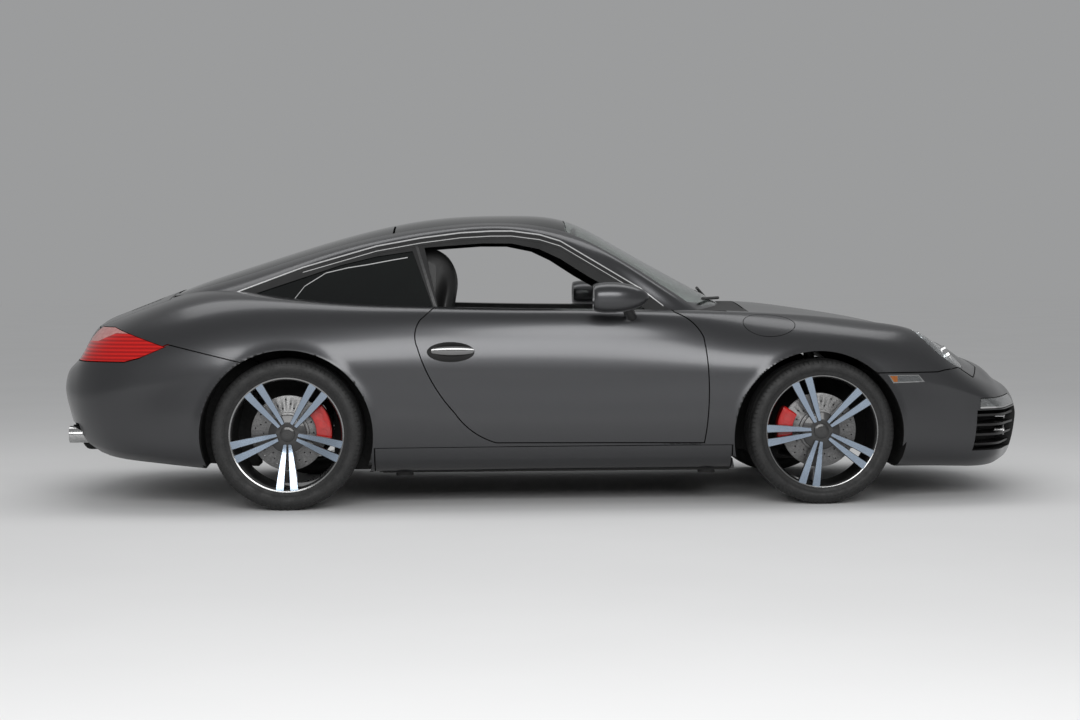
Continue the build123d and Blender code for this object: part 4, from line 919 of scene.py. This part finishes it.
def tyre_mesh(name, radius, half, centre, side):
    """A tyre with two maps: its wrap of turn and depth, and a zone that is 1 on the tread."""
    profile = tyre_profile(radius, half)
    points, faces = turned(profile, TYRE_COUNT)
    mesh = bpy.data.meshes.new(name)
    mesh.from_pydata(placed(points, centre, side), [], faces)
    wraps, zones = mesh.uv_layers.new(name="wrap"), mesh.uv_layers.new(name="zone")
    rows = len(profile)
    for face in mesh.polygons:
        last = face.index // rows == TYRE_COUNT - 1
        for loop in face.loop_indices:
            turn, place = divmod(mesh.loops[loop].vertex_index, rows)
            turn += TYRE_COUNT if last and turn == 0 else 0
            spot_r, depth = profile[place]
            wraps.data[loop].uv = (turn / TYRE_COUNT, depth)
            zones.data[loop].uv = (1.0 if spot_r > radius - TREAD_DEPTH else 0.0, 0.0)
    if side == 1:
        mesh.flip_normals()
    return mesh


DISC_R, DISC_HAT_R, DISC_BORE_R, DISC_SLOT_R = 0.165, 0.092, 0.044, 0.150
DISC_OUTER, DISC_INNER = 0.026, 0.054
DRILL_RINGS, DRILL_COUNT, DRILL_R = (0.110, 0.128, 0.147), 14, 0.0036


def disc_meshes(outer, inner, pad_in):
    """Points and faces of a vented disc with its hat, and of the drills that cross it."""
    outline = [(DISC_BORE_R, pad_in), (DISC_HAT_R, pad_in), (DISC_HAT_R, outer), (DISC_R, outer),
               (DISC_R, outer + 0.009), (DISC_SLOT_R, outer + 0.0095), (DISC_SLOT_R, inner - 0.0095),
               (DISC_R, inner - 0.009), (DISC_R, inner), (DISC_BORE_R, inner)]
    drills = []
    for ring, radius in enumerate(DRILL_RINGS):
        for k in range(DRILL_COUNT):
            t = 2 * math.pi * (k + ring / 3) / DRILL_COUNT
            spot = (radius * math.cos(t), radius * math.sin(t))
            drills.append(drum(spot, DRILL_R, outer - 0.01, inner + 0.01, 10))
    return turned(rounded(outline, 0.0012, 2), 128), joined(drills)


CALIPER_REACH, CALIPER_SPREAD, CALIPER_GAP = 0.032, math.radians(27), 0.004
PISTON_AT, PISTON_R, PISTON_STEP = 0.156, 0.017, 0.24


def caliper_pieces(outer, inner, lead):
    """Points and faces of a caliper: two halves, the bridge over the disc and three round piston covers."""
    out, back, gap = outer - CALIPER_REACH, inner + CALIPER_REACH, CALIPER_GAP
    pieces = [sector(inside, outside, low, high, lead, CALIPER_SPREAD) for low, high, inside, outside in (
        (out, outer - gap, 0.124, 0.188), (inner + gap, back, 0.124, 0.188), (out + gap, back - gap, 0.171, 0.1915))]
    for t in (lead - PISTON_STEP, lead, lead + PISTON_STEP):
        spot = (PISTON_AT * math.cos(t), PISTON_AT * math.sin(t))
        pieces.append(drum(spot, PISTON_R, out - gap, out + gap, 28))
    return joined(pieces)


for label, (axle_x, axle_y, tyre_r, width, hub, first_spoke, caliper_at) in WHEELS.items():
    centre = (axle_x, axle_y, tyre_r)
    for side, where in SIDES:
        end = f"{label}_{where}"
        carrier = f"{label}_wheel_{where}"
        tyre = tyre_mesh(f"tyre_{end}", tyre_r, width / 2, centre, side)
        finished(f"tyre_{end}", tyre, tyre_finish, carrier, f"{label}_tyre_{where}", 50.0)
        dark, bright, lip = rim_pieces(width, hub, first_spoke)
        for name, group, finish, node in (
            ("rim_body", dark, alloy_dark, f"{label}_rim_{where}"),
            ("rim_faces", bright, alloy_face, None),
            ("rim_lip", lip, alloy_lip, None),
        ):
            points, faces = joined(group)
            rim = mesh_of(name, placed(points, centre, side), faces)
            finished(f"{name}_{end}", rim, finish, carrier, node, 28.0)
        pad_in = hub + HUB_PAD_DEPTH - width * RIM_SHARE
        outer, inner = pad_in + DISC_OUTER, pad_in + DISC_INNER
        disc, drills = (mesh_of(name, placed(points, centre, side), faces)
                        for name, (points, faces) in zip(("disc", "drills"), disc_meshes(outer, inner, pad_in)))
        cut(f"disc_{end}", disc, [], [drills], iron, carrier, f"{label}_disc_{where}")
        points, faces = caliper_pieces(outer, inner, math.radians(caliper_at))
        caliper = mesh_of("caliper", placed(points, centre, side), faces)
        if label == "front":
            finished(f"caliper_{end}", caliper, red, f"knuckle_{where}", f"front_caliper_{where}", 30.0)
        else:
            finished(f"caliper_{end}", caliper, red, "car", "rear_calipers" if side == 1 else None, 30.0)

# Lamps.
# Clear lenses follow the body skin over dark buckets with round bright lamps; the tail lamps are red.
LENS, LAMP_DEPTH, PROUD = 0.004, 0.030, 0.0022
inner_body = closed_skin("body_inner", sunk(shell_grid, LENS))
deep_body = closed_skin("body_deep", sunk(shell_grid, LAMP_DEPTH))
proud_body = closed_skin("body_proud", sunk(shell_grid, -PROUD))
lens_finish = mottled("lamp_lens", 4.0, (0.82, 0.86, 0.88), (0.90, 0.93, 0.94),
                      Roughness=0.02, IOR=1.45, Transmission_Weight=0.92, Coat_Weight=1.0)
bucket_finish = mottled("lamp_bucket", 30.0, 0.06, 0.12, Metallic=0.9, Roughness=0.30)
mirror_bright = mottled("lamp_reflector", 300.0, 0.62, 0.72, Metallic=1.0, Roughness=0.10)
amber = mottled("amber_lens", 80.0, (0.75, 0.20, 0.02), (0.85, 0.28, 0.04),
                Roughness=0.06, IOR=1.45, Transmission_Weight=0.6, Coat_Weight=1.0)


def lathe(profile, centre, aim, count=48):
    """A closed form from a profile of radius and reach, turned about an aim through a centre."""
    aim = Vector(aim).normalized()
    first = aim.orthogonal().normalized()
    second = aim.cross(first)
    points = []
    for i in range(count):
        t = 2 * math.pi * i / count
        for radius, reach in profile:
            p = Vector(centre) + aim * reach + (first * math.cos(t) + second * math.sin(t)) * radius
            points.append(tuple(p))
    return mesh_of("turned", points, hoops(count, len(profile), True))


def lamp_ring(name, radius, profile, centre, aim):
    """A bright ring round a lamp, from a profile of shares of its radius and of reaches."""
    ring = lathe([(radius * share, reach) for share, reach in profile], centre, aim)
    finished(f"{name}_{radius}", ring, mirror_bright, "car")


HEADLAMP_RING = [(0.86, -0.020), (1.0, -0.018), (1.0, 0.010), (0.95, 0.012), (0.84, -0.006)]
LENS_CUT_DEPTH, BUCKET_CUT_DEPTH = 0.10, 0.108
for side, where in SIDES:
    panel(f"headlamp_lens_{where}", "front_lamps" if side == 1 else None, "car",
          [aimed(*HEADLAMP, LENS_CUT_DEPTH, side)], [inner_body.copy()], lens_finish, lens_finish)
    cut(f"headlamp_bucket_{where}", deep_body, [aimed(*widened(HEADLAMP, -SEAM), BUCKET_CUT_DEPTH, side)], [],
        bucket_finish)
    aim = Vector((0.85, -0.10 * side, 0.45)).normalized()
    for reach, radius in ((0.0, 0.052), (-0.125, 0.038)):
        centre = Vector((1.800 + reach, -0.655 * side, 0.640 - reach * 0.62))
        lamp_ring(f"headlamp_ring_{where}", radius, HEADLAMP_RING, centre, aim)
        wide = radius * 0.82
        dome = [(0.0004, 0.012)] + [(wide * math.sin(a), 0.012 * math.cos(a) - 0.002) for a in (0.5, 0.9, 1.2, 1.5)]
        dome += [(wide, -0.02), (0.0004, -0.02)]
        finished(f"headlamp_dome_{where}_{radius}", lathe(dome, centre, aim), lens_finish, "car")
    corner = CORNER_LAMP if side == 1 else flipped(CORNER_LAMP)
    foot, top = CORNER_LAMP_Z
    panel(f"corner_lens_{where}", None, "car", [prism(corner, "z", foot + 0.008, top)], [inner_body.copy()],
          lens_finish, lens_finish)
    panel(f"corner_chrome_{where}", None, "car", [prism(corner, "z", foot, foot + 0.0075)], [deep_body.copy()],
          mirror_bright, mirror_bright)
    cut(f"corner_back_{where}", inner_body, [prism(corner, "z", foot, top)], [deep_body.copy()], bucket_finish)

SIDE_MARKER = metres([(1487, 570), (1627, 569), (1656, 537), (1511, 534)])
MARKER_AMBER_X = 1.530
marker_rim = mottled("marker_rim", 200.0, 0.45, 0.55, Metallic=1.0, Roughness=0.15)
MARKER_RIM, MARKER_INNER_Y, MARKER_Z = 0.0045, 0.80, (0.4, 0.7)
for side, where in SIDES:
    across = span(side, MARKER_INNER_Y, FAR)
    hole = prism(grown(SIDE_MARKER, -MARKER_RIM), "y", *across)
    for name, keep, take, finish in (
        ("marker_rim", [prism(SIDE_MARKER, "y", *across)], [hole], marker_rim),
        ("marker_lens", [hole.copy(), slab((MARKER_AMBER_X, 1.7), WHOLE_Y, MARKER_Z)], [], lens_finish),
        ("marker_amber", [hole.copy(), slab((1.4, MARKER_AMBER_X), WHOLE_Y, MARKER_Z)], [], amber),
    ):
        cut(f"{name}_{where}", proud_body, keep, take + [inner_body.copy()], finish, angle=25.0)

red_lens = Finish("tail_red", Roughness=0.12, IOR=1.40, Emission_Strength=0.22)
down = red_lens.node("ShaderNodeSeparateXYZ", None, {0: red_lens.place()}, output=2)
lines = ((down * 62.0).math("FRACT") - 0.5).math("ABSOLUTE").ramp(0.16, 0.30)
red_lens.set("Base Color", lines.blend((0.55, 0.012, 0.010), (0.36, 0.006, 0.006)))
red_lens.set("Emission Color", lines.blend((0.30, 0.006, 0.004), (0.05, 0.001, 0.001)))
clear_lens = mottled("tail_clear", 60.0, (0.50, 0.20, 0.19), (0.62, 0.30, 0.28), Roughness=0.10, IOR=1.40)
CLEAR_PART = metres([(-2120, 734), (-1995, 738), (-1905, 774), (-1840, 772), (-1830, 800), (-2120, 800)])
for side, where in SIDES:
    low, high = span(side, *TAIL_LAMP_Y)
    window = prism(CLEAR_PART, "y", low - 0.01, high + 0.01)
    panel(f"tail_red_{where}", "tail_lamps" if side == 1 else None, "car", [prism(TAIL_LAMP, "y", low, high)],
          [window, deep_body.copy()], red_lens, red_lens)
    panel(f"tail_clear_{where}", None, "car", [prism(TAIL_LAMP, "y", low, high), window.copy()],
          [deep_body.copy()], clear_lens, clear_lens)

slat_finish = mottled("slat_black", 150.0, 0.008, 0.016, 3.0, Roughness=0.4)
FOG_RING = [(0.8, -0.03), (1.0, -0.03), (1.0, 0.008), (0.9, 0.010), (0.78, -0.004)]
SLAT_HALF, SLAT_GAP = 0.005, 0.002
for side, where in SIDES:
    plan = grown(INTAKE if side == 1 else flipped(INTAKE), -SLAT_GAP)
    for z in (0.248, 0.292, 0.336, 0.380):
        cut(f"slat_{where}_{z}", deep_body, [prism(plan, "z", z - SLAT_HALF, z + SLAT_HALF)], [], slat_finish)
    for spot, radius in (((2.078, -0.560, 0.362), 0.016), ((2.068, -0.585, 0.302), 0.024)):
        centre = Vector((spot[0], spot[1] * side, spot[2]))
        aim = Vector((0.94, -0.34 * side, 0.0))
        lamp_ring(f"fog_ring_{where}", radius, FOG_RING, centre, aim)
        wide = radius * 0.77
        disc = [(0.0004, 0.004), (radius * 0.5, 0.003), (wide, 0.0), (wide, -0.02), (0.0004, -0.02)]
        finished(f"fog_lens_{where}_{radius}", lathe(disc, centre, aim), lens_finish, "car")

# Trim.
# Bright strips run along the roof rails over black seals, and a dark strip covers each door pillar.
TRIM_SIDE = metres([
    (-1418, 942), (-1090, 1062), (-761, 1155), (-564, 1190), (-388, 1212), (-252, 1219), (-158, 1219), (-32, 1202),
    (61, 1173), (187, 1097), (313, 1021), (419, 957), (518, 880),
])
bright = mottled("bright_trim", 80.0, 0.78, 0.88, 3.0, Metallic=0.7, Roughness=0.28)
seal = mottled("seal_rubber", 200.0, 0.006, 0.012, Roughness=0.7)
pillar_black = mottled("pillar_black", 8.0, 0.010, 0.016, Roughness=0.18, Coat_Weight=1.0)


def band(line, high, low):
    """An outline along a line, from one height above it to another."""
    return [(x, z + high) for x, z in line] + [(x, z + low) for x, z in reversed(line)]


def over_frame(name, outline, proud, finish, node=None, holes=()):
    """A strip that lies on the glasshouse frame, both sides in one piece."""
    sheet = hollow_skin("strip", roof_grid, -proud, abs(proud) - 0.0002)
    bands = both_sides(outline, *WINDOW_Y)
    points, faces = joined([([tuple(v.co) for v in c.vertices], [tuple(p.vertices) for p in c.polygons])
                            for c in bands])
    openings = [cutter for hole in holes for cutter in both_sides(hole, *WINDOW_Y)]
    cut(name, sheet, [mesh_of("bands", points, faces)], openings + [body_mesh.copy()], finish, node=node, angle=40.0)


over_frame("trim_rail", band(TRIM_SIDE, 0.0, -0.006), 0.0024, bright, "roof_trim")
SURROUND = [(x, z - 0.007) for x, z in TRIM_SIDE] + metres([(640, 830), (-1500, 830)])
over_frame("window_surround", SURROUND, 0.0012, pillar_black, None, [DOOR_WINDOW, QUARTER_WINDOW])
over_frame("trim_line", band(TRIM_SIDE[1:-1], -0.024, -0.0275), 0.0022, bright)
for step in (0.012, 0.036):
    over_frame("seal_line", band(TRIM_SIDE[2:-1], -step, -step - 0.003), 0.0018, seal)
strip_grey = mottled("strip_grey", 90.0, 0.10, 0.15, 3.0, Metallic=0.9, Roughness=0.3)
over_frame("pillar_strips", metres([(-588, 1150), (-576, 1150), (-490, 872), (-503, 872)]), 0.0022, strip_grey)
GLASS_LINE = metres([
    (-1135, 905), (-1080, 975), (-986, 1033), (-890, 1055), (-799, 1069), (-700, 1087), (-622, 1100),
])
over_frame("glass_line", band(GLASS_LINE, 0.002, -0.002), -0.0024, bright)

# Door mirrors.
# A rounded housing with a glass set into its rear stands on a short foot at the front of each door window.
MIRROR_AT = (0.0, 0.905, 0.919)
MIRROR_RINGS = [
    (0.1915, 0.074, 0.052), (0.190, 0.077, 0.055), (0.196, 0.082, 0.060), (0.215, 0.086, 0.064),
    (0.245, 0.0885, 0.067), (0.285, 0.0875, 0.0665), (0.325, 0.081, 0.062), (0.360, 0.071, 0.054),
    (0.388, 0.056, 0.043), (0.410, 0.040, 0.031), (0.425, 0.022, 0.018), (0.4315, 0.008, 0.007),
]
PANE_RINGS = [(0.1945, 0.064, 0.042), (0.193, 0.066, 0.044), (0.1925, 0.064, 0.042)]
SQUARENESS, RING_COUNT = 2.5, 56
MIRROR_FOOT = ((0.326, -0.884, 0.892), (0.364, -0.800, 0.832))


def ring_form(rings, hollow=None):
    """A closed form through rounded oval rings across X, with an optional recess in its first ring."""
    rows = list(rings)
    if hollow:
        x, wide, high = rings[0]
        rows.insert(0, (x, wide - 0.006, high - 0.006))
        rows.insert(0, (x + hollow, wide - 0.007, high - 0.007))
        rows.insert(0, (x + hollow, 0.001, 0.001))
    points = []
    for x, wide, high in rows:
        for a, b in ring_points((0, 0), 1.0, RING_COUNT):
            a, b = (math.copysign(abs(v) ** (2 / SQUARENESS), v) for v in (a, b))
            points.append((x, wide * a, high * b))
    return points, hoops(len(rows), RING_COUNT) + caps(len(rows), RING_COUNT)


def stick(start, end, radius, last=None, count=28):
    """A closed round bar between two points, its second end of another radius if given."""
    start, end = Vector(start), Vector(end)
    aim = (end - start).normalized()
    first = aim.orthogonal().normalized()
    second = aim.cross(first)
    points = []
    for spot, r in ((start, radius), (end, last or radius)):
        for a, b in ring_points((0, 0), r, count):
            points.append(tuple(spot + first * a + second * b))
    return points, caps(2, count) + hoops(2, count)


mirror_glass = mottled("mirror_glass", 3.0, 0.55, 0.62, Metallic=1.0, Roughness=0.03)
for side, where in SIDES:
    for name, (points, faces), at, finish, node, angle in (
        ("shell", ring_form(MIRROR_RINGS, 0.008), MIRROR_AT, paint, f"door_mirror_{where}", 40.0),
        ("foot", stick(*MIRROR_FOOT, 0.019, 0.026), (0, 0, 0), pillar_black, None, 35.0),
        ("pane", ring_form(PANE_RINGS), MIRROR_AT, mirror_glass, None, 35.0),
    ):
        form = mesh_of(name, placed(points, at, side), faces)
        finished(f"mirror_{name}_{where}", form, finish, f"door_{where}", node, angle)

# Cabin.
# Two leather seats on rails and two small rear seats stand between the sills, behind a moulded dashboard.
leather = mottled("leather", 9.0, 0.012, 0.022, 4.0, Coat_Weight=0.15)
grain = leather.node("ShaderNodeTexVoronoi", None, {"Vector": leather.place(), "Scale": 340.0})
leather.set("Roughness", grain.ramp(0.0, 0.6, 0.40, 0.56))
leather.bump(grain, 0.0006, 0.5)
SEAT_Y, REAR_SEAT_Y = 0.370, 0.3425
PAD_SHARES = (-1.0, -0.97, -0.86, -0.66, -0.56, -0.28, 0.0, 0.28, 0.56, 0.66, 0.86, 0.97, 1.0)
PAD_LIFT_SHARES = (-0.9, -0.25, 0.75, 0.9, -0.1, 0.1, 0.22, 0.1, -0.1, 0.9, 0.75, -0.25, -0.9)
# name, side outline, how many of its points swell in front, half width, swelling, distance from the middle
SEAT_PADS = [
    ("seat_cushion", [(-28, 320), (-22, 395), (-60, 436), (-120, 448), (-260, 426), (-400, 404), (-440, 330),
                      (-440, 290), (-60, 285)], 6, 0.245, 0.030, SEAT_Y),
    ("seat_back", [(-500, 345), (-425, 400), (-430, 520), (-440, 640), (-450, 760), (-446, 880), (-420, 975),
                   (-440, 1060), (-490, 1122), (-545, 1146), (-588, 1118), (-600, 1030), (-592, 900), (-580, 760),
                   (-566, 560), (-552, 400)], 9, 0.240, 0.026, SEAT_Y),
    ("rear_cushion", [(-645, 345), (-648, 400), (-670, 428), (-760, 418), (-850, 402), (-890, 360), (-890, 335),
                      (-700, 332)], 5, 0.2165, 0.012, REAR_SEAT_Y),
    ("rear_back", [(-853, 425), (-866, 560), (-878, 670), (-892, 694), (-910, 685), (-910, 560), (-910, 420)],
     3, 0.2165, 0.012, REAR_SEAT_Y),
]
SEAT_NODES = {"seat_cushion_right": "front_seats", "rear_cushion_right": "rear_seats"}


def pad_form(outline, fronts, half, lift):
    """A cushion: its side outline repeated across its width, swollen in front between its seams, and closed."""
    line = np.array(outline, float) / 1000
    middle = line.mean(0)
    ahead = np.roll(line, -1, 0) - np.roll(line, 1, 0)
    area = (line[:, 0] * np.roll(line[:, 1], -1) - np.roll(line[:, 0], -1) * line[:, 1]).sum()
    out = np.column_stack([ahead[:, 1], -ahead[:, 0]]) / np.linalg.norm(ahead, axis=1)[:, None]
    out *= math.copysign(1, area)
    points = []
    for share, raised in zip(PAD_SHARES, PAD_LIFT_SHARES):
        edge = max(0.0, abs(share) - 0.86) / 0.14
        for i, (x, z) in enumerate(line):
            push = lift * raised if i < fronts else 0.0
            pull = 1.0 - 0.10 * edge**2
            spot = middle + (np.array([x, z]) + out[i] * push - middle) * pull
            narrow = 1 - 0.42 * max(0.0, min(1.0, (spot[1] - 0.93) / 0.10))
            points.append((spot[0], share * half * narrow, spot[1]))
    size = len(PAD_SHARES), len(line)
    return points, hoops(*size) + caps(*size)


steel = mottled("dark_steel", 120.0, 0.08, 0.15, 4.0, Metallic=1.0, Roughness=0.35)
RAIL_Y, RAIL_R, POST_R = 0.185, 0.0145, 0.012
for side, where in SIDES:
    for name, outline, fronts, half, lift, away in SEAT_PADS:
        points, faces = pad_form(outline, fronts, half, lift)
        label = f"{name}_{where}"
        cushion = mesh_of(label, [(x, y - side * away, z) for x, y, z in points], faces)
        item = finished(label, cushion, leather, "car", SEAT_NODES.get(label), 180.0)
        step = item.modifiers.new("round", "SUBSURF")
        step.levels = step.render_levels = 2
    rails = []
    for off in (-RAIL_Y, RAIL_Y):
        y, top_y = off - side * SEAT_Y, off * 0.8 - side * SEAT_Y
        rails.append(stick((-0.440, y, 0.182), (-0.080, y, 0.182), RAIL_R))
        rails += [stick((x, y, 0.178), (x, top_y, 0.330), POST_R) for x in (-0.400, -0.120)]
    points, faces = joined(rails)
    finished(f"seat_rails_{where}", mesh_of("rails", points, faces), steel, "car")

dash_finish = mottled("dash_plastic", 6.0, 0.010, 0.018, 3.0, Roughness=0.62)
dimples = dash_finish.node("ShaderNodeTexVoronoi", None, {"Vector": dash_finish.place(), "Scale": 520.0})
dash_finish.bump(dimples, 0.0005, 0.4)
carpet = mottled("carpet", 700.0, 0.006, 0.022, 4.0, Roughness=0.95)
carpet.bump(carpet.noise(900.0, 3.0), 0.002, 0.6)
cast = mottled("cast_alloy", 40.0, 0.16, 0.26, 4.0, Metallic=0.9, Roughness=0.5)
cast.bump(cast.noise(260.0, 4.0), 0.0006, 0.5)
arm_black = mottled("arm_black", 90.0, 0.012, 0.028, 3.0, Roughness=0.45, Metallic=0.3)
tip_chrome = mottled("tip_chrome", 140.0, 0.46, 0.60, 3.0, edges=(0.35, 0.65), Metallic=1.0, Roughness=0.12)
CARRIED = {
    "dashboard": dash_finish, "steering_wheel": leather, "floor_pan": carpet, "engine": cast, "exhaust": tip_chrome,
    "front_suspension": arm_black, "rear_suspension": arm_black, "wipers": arm_black, "interior_mirror": arm_black,
    "front_upright_right": arm_black, "front_upright_left": arm_black,
}
for name, finish in CARRIED.items():
    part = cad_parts[name]
    if part.data.materials:
        part.data.materials[0] = finish.material
    else:
        part.data.materials.append(finish.material)

# Stage.
# A plain pale floor and backdrop under broad soft lights, seen with the photograph's lens from its height.
floor_finish = mottled("floor", 0.9, 0.825, 0.840, 3.0, Roughness=1.0, Specular_IOR_Level=0.0)
FLOOR = 60.0
floor_corners = [(-FLOOR, -FLOOR, 0), (FLOOR, -FLOOR, 0), (FLOOR, FLOOR, 0), (-FLOOR, FLOOR, 0)]
floor = thing("floor", mesh_of("floor", floor_corners, [(0, 1, 2, 3)]))
floor.data.materials.append(floor_finish.material)
SKY, SEEN = 0.40, 0.335
world = bpy.data.worlds.new("world")
bpy.context.scene.world = world
sky = Graph(world, "Background")
camera_ray, through, glossy = (sky.node("ShaderNodeLightPath", output=f"Is {kind} Ray")
                               for kind in ("Camera", "Transmission", "Glossy"))
seen = camera_ray.math("MAXIMUM", through.math("MAXIMUM", glossy))
sky.set("Strength", sky.node("ShaderNodeMapRange", None, {"Value": seen, "To Min": SKY, "To Max": SEEN}))
sky.set("Color", (0.98, 0.99, 1.0, 1.0))
for place, aim, size, power in (
    ((-0.2, -8.0, 3.4), (0.0, 0.0, 0.6), (7.0, 2.8), 300.0),
    ((0.0, 0.2, 3.8), (0.0, 0.0, 0.0), (6.0, 1.6), 55.0),
):
    lamp = bpy.data.lights.new("softbox", "AREA")
    lamp.shape, lamp.size, lamp.size_y, lamp.energy = "RECTANGLE", size[0], size[1], power
    light = thing("softbox", lamp)
    light.location = place
    light.rotation_euler = (Vector(aim) - Vector(place)).to_track_quat("-Z", "Y").to_euler()

YAW, PITCH, ROLL = 0.033597, -0.044556, -0.0062078
forward = Vector((math.sin(YAW) * math.cos(PITCH), math.cos(YAW) * math.cos(PITCH), math.sin(PITCH)))
right = forward.cross(Vector((0, 0, 1))).normalized()
up = right.cross(forward)
right, up = (math.cos(ROLL) * right + math.sin(ROLL) * up, math.cos(ROLL) * up - math.sin(ROLL) * right)
camera = thing("camera", bpy.data.cameras.new("camera"))
camera.matrix_world = Matrix((right, up, -forward)).transposed().to_4x4()
camera.location = (-0.3353, -9.5942, 1.0366)
camera.data.lens, camera.data.sensor_width = 66.67, 36.0
bpy.context.scene.camera = camera
bpy.context.scene.view_settings.view_transform = "Standard"
